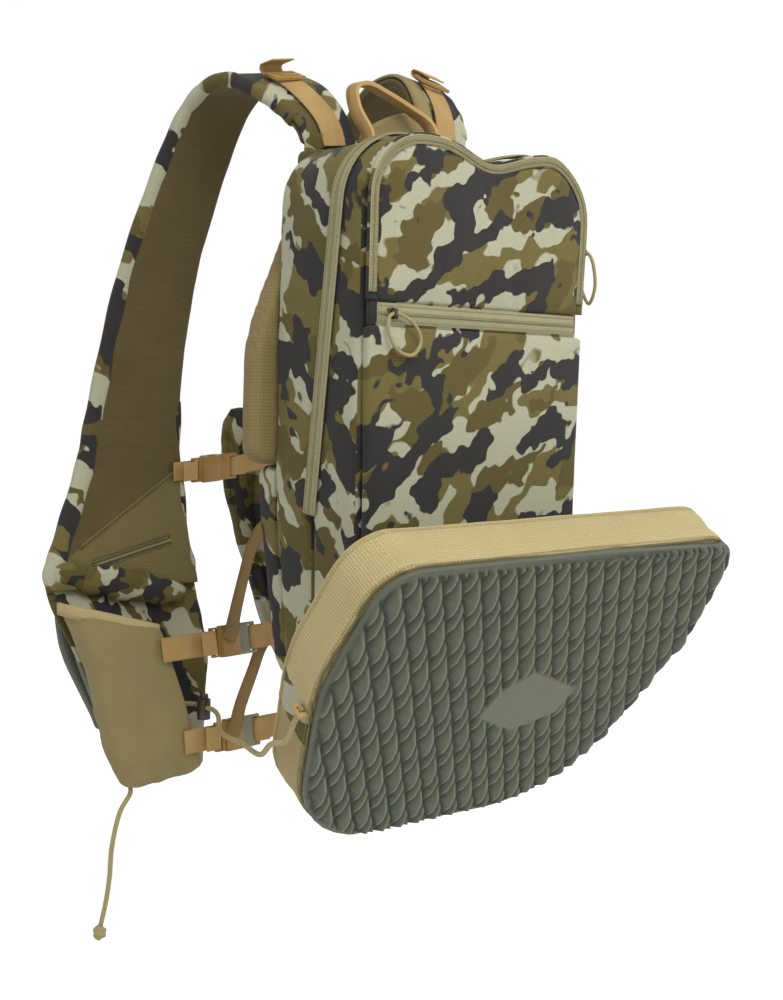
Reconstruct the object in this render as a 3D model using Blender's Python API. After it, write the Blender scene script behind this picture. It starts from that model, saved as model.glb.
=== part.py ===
"""A hunting pack worn as a vest, with a padded seat that folds out below it.

Lengths are in metres and +Z is up. The wearer stands on the +Y side of the back
pad, whose flat face lies in the plane Y = 0 and has the origin at its middle.
Heights in the constants are measured from the floor of the pack.
"""
import math

import bmesh
import bpy
from mathutils import Matrix, Vector

# Clearance between pieces that touch
GAP = 0.0003

# Pack: widths, heights and depths
PACK_HALF = 0.1305
PACK_TOP = 0.494
PACK_TOP_RADIUS = 0.055
FLOOR_HALF = 0.104
FLOOR_RISE = 0.064
WAIST_HEIGHT = 0.165
BACK_CENTRE = 0.330
PAD_DEPTH = 0.026
PAD_HALF = 0.149
PAD_TOP_HALF = 0.084
PAD_BOTTOM = 0.210
PAD_TOP = 0.475
STIFFENER_DEPTH = 0.002
MAIN_DEPTH = 0.0565
FRONT_DEPTH = 0.0606
POCKET_DEPTH = 0.0107
POCKET_EDGE = 0.0095
POCKET_HALF = PACK_HALF - POCKET_EDGE
LOWER_POCKET_BOTTOM = 0.108
YOKE_HEIGHT = 0.020

# Zip fasteners
TAPE_WIDTH = 0.018
TAPE_THICK = 0.0014
MAIN_ZIP_BOTTOM = 0.170
SEAM_LEAN = 0.111
SLASH_ZIP_HEIGHT = 0.343
SLASH_ZIP_WIDTH = 0.018
SLASH_ZIP_HALF = POCKET_HALF - 0.001
ARCH_ZIP_BOTTOM = 0.400
ARCH_BAND = 0.0082
FLAT_TAPE = 0.0062
SLIDER_LENGTH = 0.012
SLIDER_WIDTH = 0.009
SLIDER_HEIGHT = 0.0042
PULL_CORD = 0.0016

# Seat, drawn upright about its hinge axis and leaned out by SEAT_LEAN
SEAT_AXIS_DEPTH = 0.1525
SEAT_AXIS_HEIGHT = 0.0705
SEAT_LEAN = 35.0
SEAT_ABOVE = 0.1389
SEAT_HEIGHT = 0.322
SEAT_TOP_HALF = 0.209
SEAT_HALF = 0.2225
SEAT_FOOT_HALF = 0.164
SEAT_SHIFT = 0.004
SEAT_ROLL = 1.7
SEAT_BACK = 0.0094
CUSHION_DEPTH = 0.0510
RIM_RISE = 0.0065
BASE_DEPTH = 0.0050
SCALE_PITCH = 0.0198
SCALE_STEP = 0.0178
SCALE_RELIEF = 0.0037
BASE_INSET = 0.0035
ROD_RADIUS = 0.0035
ROD_HALF = 0.110
LOOP_WALL = 0.0018
LOOP_WIDTH = 0.040
LOOP_OFFSET = 0.050

# Shoulder straps and vest, in layers on the line that the strap follows
SHELL_DEPTH = 0.006
LINING_DEPTH = 0.008
OUTER_POCKET_DEPTH = 0.020
CALL_POCKET_DEPTH = 0.015
POUCH_WALL = 0.0018

# Webbing and buckles
WEB = 0.0014
LIFTER_WIDTH = 0.025
STERNUM_WIDTH = 0.020
WAIST_WIDTH = 0.025
HAUL_WIDTH = 0.025
HAUL_DEPTH = -0.045
HAUL_LINE = ((0.0375, 0.000, 0.0003), (0.0380, 0.000, 0.006), (0.0390, 0.000, 0.018),
             (0.0350, 0.008, 0.037), (0.0180, 0.019, 0.051), (-0.0040, 0.026, 0.062),
             (-0.0240, 0.029, 0.068), (-0.0400, 0.027, 0.061), (-0.0450, 0.016, 0.040),
             (-0.0435, 0.000, 0.018), (-0.0422, 0.000, 0.006), (-0.0415, 0.000, 0.0003))
BUCKLE_MARGIN = 0.004
FEMALE_DEPTH = 0.009
MALE_DEPTH = 0.004

# Cords
CORD_RADIUS = 0.0025

# Line of each strap and panel: depth, height, outer edge, inner edge, droop of the outer edge
STRAP_LINE = (
    (-0.012, 0.4958, 0.090, 0.030, 0.000),
    (-0.008, 0.520, 0.094, 0.032, 0.006),
    (0.012, 0.547, 0.101, 0.036, 0.013),
    (0.045, 0.568, 0.108, 0.038, 0.014),
    (0.095, 0.577, 0.113, 0.041, 0.008),
    (0.140, 0.556, 0.118, 0.045, 0.003),
    (0.172, 0.501, 0.128, 0.050, 0.000),
    (0.212, 0.386, 0.148, 0.061, 0.000),
    (0.240, 0.263, 0.161, 0.059, 0.000),
    (0.250, 0.190, 0.170, 0.050, 0.000),
    (0.246, 0.110, 0.198, 0.040, 0.000),
    (0.238, 0.070, 0.211, 0.034, 0.000),
    (0.225, 0.000, 0.181, 0.030, 0.000),
    (0.210, -0.070, 0.154, 0.038, 0.000),
    (0.199, -0.117, 0.134, 0.046, 0.000),
)
STRAP_LINE_RIGHT = (
    (-0.012, 0.4958, 0.104, 0.038, 0.000),
    (-0.011, 0.522, 0.111, 0.044, 0.003),
    (0.000, 0.554, 0.114, 0.049, 0.006),
    (0.022, 0.580, 0.112, 0.052, 0.008),
    (0.052, 0.588, 0.113, 0.054, 0.008),
    (0.092, 0.574, 0.116, 0.055, 0.004),
    (0.135, 0.520, 0.126, 0.057, 0.000),
    (0.190, 0.400, 0.146, 0.062, 0.000),
    (0.230, 0.275, 0.160, 0.060, 0.000),
    (0.248, 0.202, 0.170, 0.050, 0.000),
    (0.246, 0.122, 0.209, 0.051, 0.000),
    (0.238, 0.082, 0.233, 0.056, 0.000),
    (0.225, 0.012, 0.240, 0.072, 0.000),
    (0.210, -0.058, 0.236, 0.100, 0.000),
    (0.199, -0.105, 0.225, 0.121, 0.000),
)
STRAP_STEPS = 4
SEAM_HEIGHT = 0.150
LINING_BOTTOM = 0.076
RIGHT_LIFT = 0.012
RIGHT_SWING = 0.28
SWING_TOP = 0.150
LIFTER_FOLD = {-1: ((0.004, 0.0012), (0.007, 0.0040), (0.006, 0.0078), (0.000, 0.0110), (-0.013, 0.0170)),
               1: ((0.004, 0.0010), (0.006, 0.0034), (0.004, 0.0062), (-0.002, 0.0072), (-0.018, 0.0078))}
LIFTER_STAND = 0.0012
LIFTER_END = 13

# Levels of the pouch: height, depth, outer edge, inner edge, tilt of the level
POUCH_ROWS = (
    (-0.124, 0.012, 0.144, 0.064, -0.10),
    (-0.118, 0.024, 0.152, 0.057, -0.10),
    (-0.092, 0.034, 0.165, 0.068, -0.06),
    (-0.050, 0.042, 0.184, 0.080, -0.02),
    (0.000, 0.046, 0.194, 0.092, 0.08),
    (0.028, 0.046, 0.200, 0.099, 0.16),
    (0.048, 0.044, 0.207, 0.104, 0.26),
)
# Outlines of the outer pocket and the moulded call pocket: height, outer edge, inner edge
OUTER_POCKET_EDGES = ((0.222, 0.124, 0.050), (0.150, 0.152, 0.043), (0.093, 0.172, 0.038),
                      (0.050, 0.184, 0.027), (0.000, 0.176, 0.018), (-0.084, 0.146, 0.036))
OUTER_POCKET_EDGES_RIGHT = ((0.245, 0.120, 0.012), (0.220, 0.126, 0.010), (0.138, 0.158, 0.020),
                            (0.050, 0.184, 0.018), (0.000, 0.176, 0.018), (-0.084, 0.146, 0.036))
CALL_POCKET_EDGES = ((0.212, 0.120, 0.058), (0.150, 0.146, 0.052), (0.090, 0.178, 0.045),
                     (0.050, 0.188, 0.030), (0.010, 0.184, 0.028), (-0.058, 0.154, 0.040))
POUCH_STAND = 0.0010
POUCH_SIDES = 20

# Cord lock on the left half of the vest, and the cord's tab on the seat
LOCK_PLACE = (-0.066, 0.172, -0.050)
TAB_DEPTH = 0.0426
TAB_HEIGHT = -0.020

MATERIALS = {}
BUILT = {}


# Scene helpers
def clear_scene():
    for item in list(bpy.data.objects):
        bpy.data.objects.remove(item, do_unlink=True)


def material(name, colour, roughness=0.85, metallic=0.0):
    if name not in MATERIALS:
        made = bpy.data.materials.new(name)
        made.use_nodes = True
        shader = made.node_tree.nodes["Principled BSDF"]
        shader.inputs["Base Color"].default_value = (*colour, 1.0)
        shader.inputs["Roughness"].default_value = roughness
        shader.inputs["Metallic"].default_value = metallic
        made.diffuse_color = (*colour, 1.0)
        MATERIALS[name] = made
    return MATERIALS[name]


def empty(name, location, rotation=(0.0, 0.0, 0.0), parent=None):
    item = bpy.data.objects.new(name, None)
    item.location = location
    item.rotation_euler = rotation
    item.parent = parent
    bpy.context.collection.objects.link(item)
    return item


def add(name, bm, look, parent, origin=(0.0, 0.0, 0.0)):
    bmesh.ops.translate(bm, verts=bm.verts, vec=-Vector(origin))
    bmesh.ops.recalc_face_normals(bm, faces=bm.faces)
    mesh = bpy.data.meshes.new(name)
    bm.to_mesh(mesh)
    bm.free()
    mesh.materials.append(look)
    item = bpy.data.objects.new(name, mesh)
    item.location = origin
    item.parent = parent
    bpy.context.collection.objects.link(item)
    BUILT[name] = item
    return item


def bevel(item, width, segments=2, angle=50.0):
    mod = item.modifiers.new("edge_round", "BEVEL")
    mod.width = width
    mod.segments = segments
    mod.limit_method = "ANGLE"
    mod.angle_limit = math.radians(angle)
    mod.use_clamp_overlap = True
    return item


def cut(item, cutter):
    cutter.hide_render = True
    cutter.display_type = "WIRE"
    mod = item.modifiers.new("cut", "BOOLEAN")
    mod.operation = "DIFFERENCE"
    mod.solver = "EXACT"
    mod.object = cutter
    return item


def join(item, other):
    other.hide_render = True
    other.display_type = "WIRE"
    mod = item.modifiers.new("join", "BOOLEAN")
    mod.operation = "UNION"
    mod.solver = "EXACT"
    mod.object = other
    return item


# Form helpers
def smooth_line(points, steps):
    """Points of an even curve through all the given points, of any dimension."""
    line = []
    last = len(points) - 1
    for i in range(last):
        p0 = points[max(i - 1, 0)]
        p1 = points[i]
        p2 = points[i + 1]
        p3 = points[min(i + 2, last)]
        for k in range(steps):
            t = k / steps
            row = []
            for a, b, c, d in zip(p0, p1, p2, p3):
                row.append(0.5 * (2 * b + (c - a) * t + (2 * a - 5 * b + 4 * c - d) * t ** 2
                                  + (3 * b - a - 3 * c + d) * t ** 3))
            line.append(tuple(row))
    line.append(tuple(points[last]))
    return line


def rounded(corners, segments=6):
    """A closed outline whose corners (x, z, radius) are rounded by arcs."""
    outline = []
    count = len(corners)
    for i in range(count):
        here = Vector(corners[i][:2])
        back = (Vector(corners[i - 1][:2]) - here).normalized()
        ahead = (Vector(corners[(i + 1) % count][:2]) - here).normalized()
        radius = corners[i][2]
        half = back.angle(ahead) / 2
        if radius <= 0.0 or half > math.pi / 2 - 0.01:
            outline.append(here)
            continue
        middle = here + (back + ahead).normalized() * (radius / math.sin(half))
        start = here + back * (radius / math.tan(half)) - middle
        turn = start.angle_signed(here + ahead * (radius / math.tan(half)) - middle)
        for k in range(segments + 1):
            angle = -turn * k / segments
            outline.append(middle + Matrix.Rotation(angle, 2) @ start)
    return outline


def mirrored(corners):
    """Corners of the +X side, from top to bottom, completed on the -X side."""
    return list(corners) + [(-x, z, r) for x, z, r in reversed(corners)]


def inset(outline, amount):
    """The outline moved inwards along the mean of its neighbouring sides."""
    count = len(outline)
    centre = sum(outline, Vector((0.0, 0.0))) / count
    moved = []
    for i in range(count):
        along = outline[(i + 1) % count] - outline[i - 1]
        side = Vector((-along.y, along.x)).normalized()
        if side.dot(centre - outline[i]) < 0.0:
            side = -side
        moved.append(outline[i] + side * amount)
    return moved


def slab(name, outline, y0, y1, look, parent):
    """An outline in the XZ plane, extruded from y0 to y1."""
    bm = bmesh.new()
    face = bm.faces.new([bm.verts.new((p.x, y0, p.y)) for p in outline])
    grown = bmesh.ops.extrude_face_region(bm, geom=[face])
    moved = [g for g in grown["geom"] if isinstance(g, bmesh.types.BMVert)]
    bmesh.ops.translate(bm, verts=moved, vec=(0.0, y1 - y0, 0.0))
    return add(name, bm, look, parent)


def loft(name, rings, look, parent, origin=(0.0, 0.0, 0.0)):
    """A closed skin over rings of equally many points."""
    bm = bmesh.new()
    loops = [[bm.verts.new(p) for p in ring] for ring in rings]
    count = len(loops[0])
    for near, far in zip(loops, loops[1:]):
        for i in range(count):
            k = (i + 1) % count
            bm.faces.new((near[i], near[k], far[k], far[i]))
    bm.faces.new(loops[0])
    bm.faces.new(loops[-1])
    return add(name, bm, look, parent, origin)


def box(name, low, high, look, parent, origin=(0.0, 0.0, 0.0)):
    bm = bmesh.new()
    bmesh.ops.create_cube(bm, size=1.0)
    size = [b - a for a, b in zip(low, high)]
    middle = [(a + b) / 2 for a, b in zip(low, high)]
    bmesh.ops.scale(bm, verts=bm.verts, vec=size)
    bmesh.ops.translate(bm, verts=bm.verts, vec=middle)
    return add(name, bm, look, parent, origin)


def barrel(name, start, end, radius, look, parent, sides=16, origin=(0.0, 0.0, 0.0)):
    """A cylinder from start to end."""
    bm = bmesh.new()
    span = Vector(end) - Vector(start)
    bmesh.ops.create_cone(bm, cap_ends=True, segments=sides, radius1=radius, radius2=radius,
                          depth=span.length)
    turn = span.to_track_quat("Z", "Y").to_matrix()
    bmesh.ops.rotate(bm, verts=bm.verts, cent=(0.0, 0.0, 0.0), matrix=turn)
    bmesh.ops.translate(bm, verts=bm.verts, vec=(Vector(start) + Vector(end)) / 2)
    return add(name, bm, look, parent, origin)


def web(name, line, side, width, thick, look, parent, origin=(0.0, 0.0, 0.0)):
    """Flat webbing along a line of points, its width along one side vector or a row of them."""
    rings = []
    last = len(line) - 1
    sides = side if isinstance(side, list) else [side, side]
    for i, point in enumerate(line):
        along = (Vector(line[min(i + 1, last)]) - Vector(line[max(i - 1, 0)])).normalized()
        share = (len(sides) - 1) * i / last
        k = min(int(share), len(sides) - 2)
        across = Vector(sides[k]).lerp(Vector(sides[k + 1]), share - k)
        across = (across - along * across.dot(along)).normalized()
        up = along.cross(across)
        wide = across * width / 2
        deep = up * thick / 2
        here = Vector(point)
        rings.append([here - wide - deep, here + wide - deep, here + wide + deep, here - wide + deep])
    return loft(name, rings, look, parent, origin)


def cord(name, line, radius, look, parent, closed=False, origin=(0.0, 0.0, 0.0)):
    """A round cord through the points of a line."""
    curve = bpy.data.curves.new(name, "CURVE")
    curve.dimensions = "3D"
    curve.bevel_depth = radius
    curve.bevel_resolution = 2
    curve.use_fill_caps = not closed
    spline = curve.splines.new("POLY")
    spline.points.add(len(line) - 1)
    for point, place in zip(spline.points, line):
        point.co = (*(Vector(place) - Vector(origin)), 1.0)
    spline.use_cyclic_u = closed
    curve.materials.append(look)
    item = bpy.data.objects.new(name, curve)
    item.location = origin
    item.parent = parent
    bpy.context.collection.objects.link(item)
    BUILT[name] = item
    return item


clear_scene()
FRAME = empty("pack_frame", (0.0, 0.0, -BACK_CENTRE))

CAMO = material("camo_cloth", (0.30, 0.29, 0.20))
TAN = material("tan_mesh", (0.50, 0.40, 0.19))
BROWN = material("brown_lining", (0.10, 0.07, 0.025))
POUCH = material("tan_stretch_cloth", (0.24, 0.18, 0.075))
TAPE = material("zip_tape", (0.38, 0.35, 0.19))
WEBBING = material("tan_webbing", (0.51, 0.28, 0.10))
TAIL = material("brown_webbing", (0.15, 0.10, 0.04))
PLASTIC = material("tan_plastic", (0.38, 0.22, 0.05), 0.45)
DARK = material("dark_plastic", (0.04, 0.03, 0.02), 0.40)
MOULDED = material("moulded_foam", (0.115, 0.125, 0.09), 0.70)
CORD = material("pale_cord", (0.43, 0.36, 0.15))
METAL = material("dark_metal", (0.12, 0.11, 0.10), 0.35, 1.0)
BOARD = material("stiffener_sheet", (0.05, 0.05, 0.05), 0.60)
STEEL = material("spring_steel", (0.50, 0.50, 0.50), 0.30, 1.0)

# Depths of the layers, from the back pad forwards
Y_STIFF = -PAD_DEPTH - GAP
Y_MAIN = Y_STIFF - STIFFENER_DEPTH - GAP
Y_FRONT = Y_MAIN - MAIN_DEPTH - GAP
Y_POCKET = Y_FRONT - FRONT_DEPTH - GAP
Y_FACE = Y_POCKET - POCKET_DEPTH


# Back pad, lumbar pad and the stiffener behind them
pad_outline = rounded(mirrored((
    (PAD_TOP_HALF, PAD_TOP, 0.030), (PAD_HALF, 0.322, 0.16), (PAD_HALF, PAD_BOTTOM, 0.016))))
bevel(slab("back_pad", pad_outline, 0.0, -PAD_DEPTH, TAN, FRAME), 0.005)

lumbar_outline = rounded(mirrored((
    (PACK_HALF, PAD_BOTTOM - GAP, 0.008), (PACK_HALF - 0.003, WAIST_HEIGHT, 0.05),
    (FLOOR_HALF, 0.010, 0.028))))
bevel(slab("lumbar_pad", lumbar_outline, 0.0, -PAD_DEPTH, CAMO, FRAME), 0.005)

sheet_outline = rounded(mirrored((
    (PAD_TOP_HALF - 0.020, PAD_TOP - 0.015, 0.02), (PACK_HALF - 0.018, 0.335, 0.06),
    (FLOOR_HALF - 0.015, 0.030, 0.02))))
slab("back_stiffener", sheet_outline, Y_STIFF, Y_STIFF - STIFFENER_DEPTH, BOARD, FRAME)

yoke_outline = rounded(mirrored((
    (0.090, PAD_TOP + GAP + YOKE_HEIGHT, 0.004), (0.090, PAD_TOP + GAP, 0.004))), 3)
slab("yoke", yoke_outline, -0.001, -PAD_DEPTH + 0.001, BROWN, FRAME)

# Main bag and front bag, cut off below by the sloping floor
bag_outline = rounded(mirrored((
    (PACK_HALF, PACK_TOP, PACK_TOP_RADIUS), (PACK_HALF, WAIST_HEIGHT, 0.12),
    (FLOOR_HALF, -0.060, 0.028))), 8)


def slope_floor(item):
    """Cut a bag off at the floor, which rises from the back to the front."""
    bm = bmesh.new()
    bm.from_mesh(item.data)
    normal = Vector((0.0, FLOOR_RISE, -Y_POCKET)).normalized()
    geom = bm.verts[:] + bm.edges[:] + bm.faces[:]
    bmesh.ops.bisect_plane(bm, geom=geom, plane_co=(0.0, 0.0, 0.0), plane_no=normal,
                           clear_inner=True)
    rim = [e for e in bm.edges if e.is_boundary]
    bmesh.ops.contextual_create(bm, geom=rim)
    bmesh.ops.recalc_face_normals(bm, faces=bm.faces)
    bm.to_mesh(item.data)
    bm.free()
    return item


def arch_band(name, outline, low, high, y0, y1, bottom, look):
    """A band along the arch of an outline, open below the given height."""
    inner = inset(outline, -low)
    outer = inset(outline, -high)
    start = [i for i, p in enumerate(outline) if p.y >= bottom - 0.0005]
    order = [i for i in start if outline[i].x > 0.0] + [i for i in start if outline[i].x <= 0.0]
    order.sort(key=lambda i: math.atan2(outline[i].y - bottom, outline[i].x))
    ends = [(outline[order[0]].x, bottom), (outline[order[-1]].x, bottom)]
    rings = []
    for x, z in (ends[0],):
        rings.append(((x + low, z), (x + high, z)))
    for i in order:
        if outline[i].y > bottom + 0.004:
            rings.append((tuple(inner[i]), tuple(outer[i])))
    for x, z in (ends[1],):
        rings.append(((x - low, z), (x - high, z)))
    return loft(name, [[(a[0], y0, a[1]), (b[0], y0, b[1]), (b[0], y1, b[1]), (a[0], y1, a[1])]
                       for a, b in rings], look, FRAME)


def seam_shift(height):
    """Depth by which the joint between the two bags leans forward at a height."""
    return -SEAM_LEAN * (height - MAIN_ZIP_BOTTOM)


def lean(item, near, far):
    """Lean the part of an item that lies between two depths along the joint between the bags."""
    for v in item.data.vertices:
        if near - GAP / 4 <= v.co.y <= far + GAP / 4:
            v.co.y += seam_shift(v.co.z)
    return item


main_bag = slab("main_bag", bag_outline, Y_MAIN, Y_MAIN - MAIN_DEPTH, CAMO, FRAME)
slope_floor(lean(main_bag, Y_MAIN - MAIN_DEPTH, Y_MAIN - MAIN_DEPTH))
bevel(main_bag, 0.005)
front_bag = slab("front_bag", bag_outline, Y_FRONT, Y_FRONT - FRONT_DEPTH, CAMO, FRAME)
slope_floor(lean(front_bag, Y_FRONT, Y_FRONT))
bevel(front_bag, 0.005)

# Main zip over the joint between the two bags
arch_outline = rounded(((PACK_HALF, MAIN_ZIP_BOTTOM, 0.0), (PACK_HALF, PACK_TOP, PACK_TOP_RADIUS),
                        (-PACK_HALF, PACK_TOP, PACK_TOP_RADIUS), (-PACK_HALF, MAIN_ZIP_BOTTOM, 0.0)), 8)
y_tape = Y_FRONT + TAPE_WIDTH / 2
lean(arch_band("main_zip_tape", arch_outline, GAP, GAP + TAPE_THICK, y_tape, y_tape - TAPE_WIDTH,
               MAIN_ZIP_BOTTOM, TAPE), y_tape - TAPE_WIDTH, y_tape)

# Pockets on the front, with the slash zip between them and the arch zip round the upper one
slash_top = SLASH_ZIP_HEIGHT + SLASH_ZIP_WIDTH / 2
slash_low = SLASH_ZIP_HEIGHT - SLASH_ZIP_WIDTH / 2
upper_outline = rounded(mirrored((
    (POCKET_HALF, PACK_TOP - 0.010, PACK_TOP_RADIUS - 0.008), (POCKET_HALF, slash_top + GAP, 0.004))), 8)
bevel(slab("upper_pocket", upper_outline, Y_POCKET, Y_FACE, CAMO, FRAME), 0.003)
lower_outline = rounded(mirrored((
    (PACK_HALF - 0.0015, slash_low - GAP, 0.004), (PACK_HALF - 0.0035, LOWER_POCKET_BOTTOM, 0.016))))
bevel(slab("lower_pocket", lower_outline, Y_POCKET, Y_FACE, CAMO, FRAME), 0.003)
box("slash_zip_tape", (-SLASH_ZIP_HALF, Y_POCKET - FLAT_TAPE, slash_low),
    (SLASH_ZIP_HALF, Y_POCKET, slash_top), TAPE, FRAME)
arch_band("arch_zip_tape", upper_outline, GAP, ARCH_BAND, Y_POCKET, Y_POCKET - FLAT_TAPE - 0.001,
          ARCH_ZIP_BOTTOM, TAPE)


# Zip sliders, each with a cord pull through its bail
def slider(name, place, out, along, bail_across):
    """A slider body with a bail, its origin where it rides on the tape."""
    side = Vector(out).cross(Vector(along))
    turn = Matrix((along, side, out)).transposed()
    bm = bmesh.new()
    bmesh.ops.create_cube(bm, size=1.0)
    bmesh.ops.scale(bm, verts=bm.verts, vec=(SLIDER_LENGTH, SLIDER_WIDTH, SLIDER_HEIGHT))
    bmesh.ops.bevel(bm, geom=bm.edges[:], offset=0.0008, segments=1, affect="EDGES")
    bmesh.ops.translate(bm, verts=bm.verts, vec=(0.0, 0.0, SLIDER_HEIGHT / 2))
    bmesh.ops.transform(bm, matrix=turn.to_4x4(), verts=bm.verts)
    bmesh.ops.translate(bm, verts=bm.verts, vec=place)
    body = add(name, bm, METAL, FRAME, place)
    top = SLIDER_HEIGHT
    line = []
    for k in range(9):
        angle = math.pi * k / 8
        reach = 0.0042 * math.cos(angle)
        rise = top - 0.0012 + 0.0058 * math.sin(angle)
        local = Vector((0.0, reach, rise)) if bail_across else Vector((reach, 0.0, rise))
        line.append(Vector(place) + turn @ local)
    bail = web(name + "_bail", line, along if bail_across else side, 0.0030, 0.0012, METAL, FRAME)
    return join(body, bail)


def pull(name, place, points):
    """A closed loop of thin cord drawn through points about the bail."""
    around = [points[-1]] + list(points) + [points[0], points[1]]
    line = smooth_line(around, 5)[5:-5]
    moved = [Vector(place) + Vector(p) for p in line[:-1]]
    return cord(name, moved, PULL_CORD, CORD, FRAME, True, place)


slash_place = Vector((0.017 - SLASH_ZIP_HALF, Y_POCKET - FLAT_TAPE - GAP, SLASH_ZIP_HEIGHT))
slider("slash_zip_slider", slash_place, (0.0, -1.0, 0.0), (1.0, 0.0, 0.0), True)
slash_hold = slash_place + Vector((0.0, -SLIDER_HEIGHT - 0.0019, 0.0))
pull("slash_zip_pull", slash_hold, (
    (0.0, 0.0, 0.0), (0.007, -0.0010, -0.0010), (0.018, -0.0045, -0.008), (0.026, -0.0045, -0.022),
    (0.017, -0.0045, -0.034), (0.001, -0.0045, -0.031), (-0.009, -0.0045, -0.018),
    (-0.008, -0.0020, -0.004)))

arch_place = Vector((POCKET_HALF + ARCH_BAND + GAP, Y_POCKET - 0.0036, 0.412))
slider("arch_zip_slider", arch_place, (1.0, 0.0, 0.0), (0.0, 0.0, 1.0), False)
arch_hold = arch_place + Vector((SLIDER_HEIGHT + 0.0019, 0.0, 0.0))
hanging = ((0.0, 0.0, 0.0), (0.0004, 0.006, -0.0020), (0.004, 0.0085, -0.012), (0.007, 0.0085, -0.032),
           (0.0085, 0.0, -0.047), (0.007, -0.0085, -0.032), (0.004, -0.0085, -0.012), (0.0004, -0.006, -0.0020))
pull("arch_zip_pull", arch_hold, hanging)

main_height = MAIN_ZIP_BOTTOM + 0.012
main_place = Vector((PACK_HALF + TAPE_THICK + 2 * GAP, Y_FRONT + seam_shift(main_height), main_height))
main_along = Vector((0.0, -SEAM_LEAN, 1.0)).normalized()
slider("main_zip_slider", main_place, (1.0, 0.0, 0.0), main_along, False)
main_hold = main_place + Vector((SLIDER_HEIGHT + 0.0019, 0.0, 0.0))
pull("main_zip_pull", main_hold, hanging)

# Haul loop on the top of the main bag
haul_base = Vector((0.0, HAUL_DEPTH, PACK_TOP + GAP))
haul_line = smooth_line([(x, HAUL_DEPTH + y, PACK_TOP + z) for x, y, z in HAUL_LINE], 4)
web("haul_loop", haul_line, (0.0, 1.0, 0.0), HAUL_WIDTH, 0.0026, WEBBING, FRAME, haul_base)

# Seat hinge rod, held against the front bag by two sewn tabs
axis = Vector((0.0, -SEAT_AXIS_DEPTH, SEAT_AXIS_HEIGHT))
rod = barrel("seat_hinge_rod", axis - Vector((ROD_HALF, 0, 0)), axis + Vector((ROD_HALF, 0, 0)),
             ROD_RADIUS, TAIL, FRAME)
for x in (-0.095, 0.0, 0.095):
    tab = box("seat_hinge_tab", (x - 0.012, -SEAT_AXIS_DEPTH + 0.002, SEAT_AXIS_HEIGHT - 0.003),
              (x + 0.012, Y_POCKET, 0.102), TAIL, FRAME)
    join(rod, tab)

# Seat: the cushion, and the moulded base with its scales
SEAT = empty("seat_pivot", axis, (math.radians(SEAT_LEAN), 0.0, 0.0), FRAME)
seat_outline = rounded(mirrored((
    (SEAT_TOP_HALF, SEAT_ABOVE, 0.040), (SEAT_HALF, SEAT_ABOVE - 0.120, 0.16),
    (SEAT_FOOT_HALF, SEAT_ABOVE - SEAT_HEIGHT, 0.13))), 8)
roll = Matrix.Rotation(math.radians(SEAT_ROLL), 2)
seat_outline = [roll @ Vector((p.x + SEAT_SHIFT, p.y)) for p in seat_outline]
cushion_rings = []
for depth, amount in ((0.0, 0.075), (-RIM_RISE, 0.052), (-RIM_RISE, 0.030), (-0.003, 0.010), (0.004, 0.0015),
                      (0.014, 0.0), (0.028, 0.0025), (0.042, 0.0), (CUSHION_DEPTH, 0.003)):
    y = -SEAT_BACK - depth
    cushion_rings.append([(p.x, y, p.y) for p in inset(seat_outline, amount)])
loft("seat_cushion", cushion_rings, TAN, SEAT)

y_base = -SEAT_BACK - CUSHION_DEPTH - GAP
base = slab("seat_base", inset(seat_outline, BASE_INSET), y_base, y_base - BASE_DEPTH, MOULDED, SEAT)


def press_scales(item):
    """Score the front of the base into leaning cells and raise each into a scale."""
    bm = bmesh.new()
    bm.from_mesh(item.data)
    front = y_base - BASE_DEPTH
    reach = int((SEAT_HALF + SEAT_HEIGHT) / SCALE_PITCH) + 2
    for lean in (1.0, -1.0):
        normal = Vector((SCALE_STEP, 0.0, -lean * SCALE_PITCH / 2)).normalized()
        for k in range(-reach, reach + 1):
            flat = [f for f in bm.faces if all(abs(v.co.y - front) < 1e-6 for v in f.verts)]
            geom = list({e for f in flat for e in f.edges}) + list({v for f in flat for v in f.verts}) + flat
            bmesh.ops.bisect_plane(bm, geom=geom, dist=1e-5, plane_co=(k * SCALE_PITCH, 0.0, 0.0),
                                   plane_no=normal)
    flat = [f for f in bm.faces if all(abs(v.co.y - front) < 1e-6 for v in f.verts)]
    whole = SCALE_PITCH * SCALE_STEP
    cells = [f for f in flat if f.calc_area() > 0.55 * whole]
    made = bmesh.ops.poke(bm, faces=cells, offset=0.0)
    bmesh.ops.translate(bm, verts=made["verts"], vec=(0.22 * SCALE_PITCH, -SCALE_RELIEF, -0.004))
    bm.to_mesh(item.data)
    bm.free()
    return item


press_scales(base)


# Hinge loops of the seat round the rod
def hinge_loop(name, x):
    outer = ROD_RADIUS + GAP + LOOP_WALL
    foot = -SEAT_BACK + GAP
    outline = [(foot, -0.026), (foot, 0.026), (foot + LOOP_WALL, 0.026), (foot + LOOP_WALL, 0.008)]
    for k in range(13):
        angle = math.radians(135.0 - 270.0 * k / 12)
        outline.append((outer * math.cos(angle), outer * math.sin(angle)))
    outline += [(foot + LOOP_WALL, -0.008), (foot + LOOP_WALL, -0.026)]
    bm = bmesh.new()
    face = bm.faces.new([bm.verts.new((x - LOOP_WIDTH / 2, y, z)) for y, z in outline])
    grown = bmesh.ops.extrude_face_region(bm, geom=[face])
    moved = [g for g in grown["geom"] if isinstance(g, bmesh.types.BMVert)]
    bmesh.ops.translate(bm, verts=moved, vec=(LOOP_WIDTH, 0.0, 0.0))
    item = add(name, bm, TAIL, SEAT)
    bore = barrel(name + "_bore", (x - LOOP_WIDTH, 0.0, 0.0), (x + LOOP_WIDTH, 0.0, 0.0),
                  ROD_RADIUS + GAP, TAIL, SEAT)
    return cut(item, bore)


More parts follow.
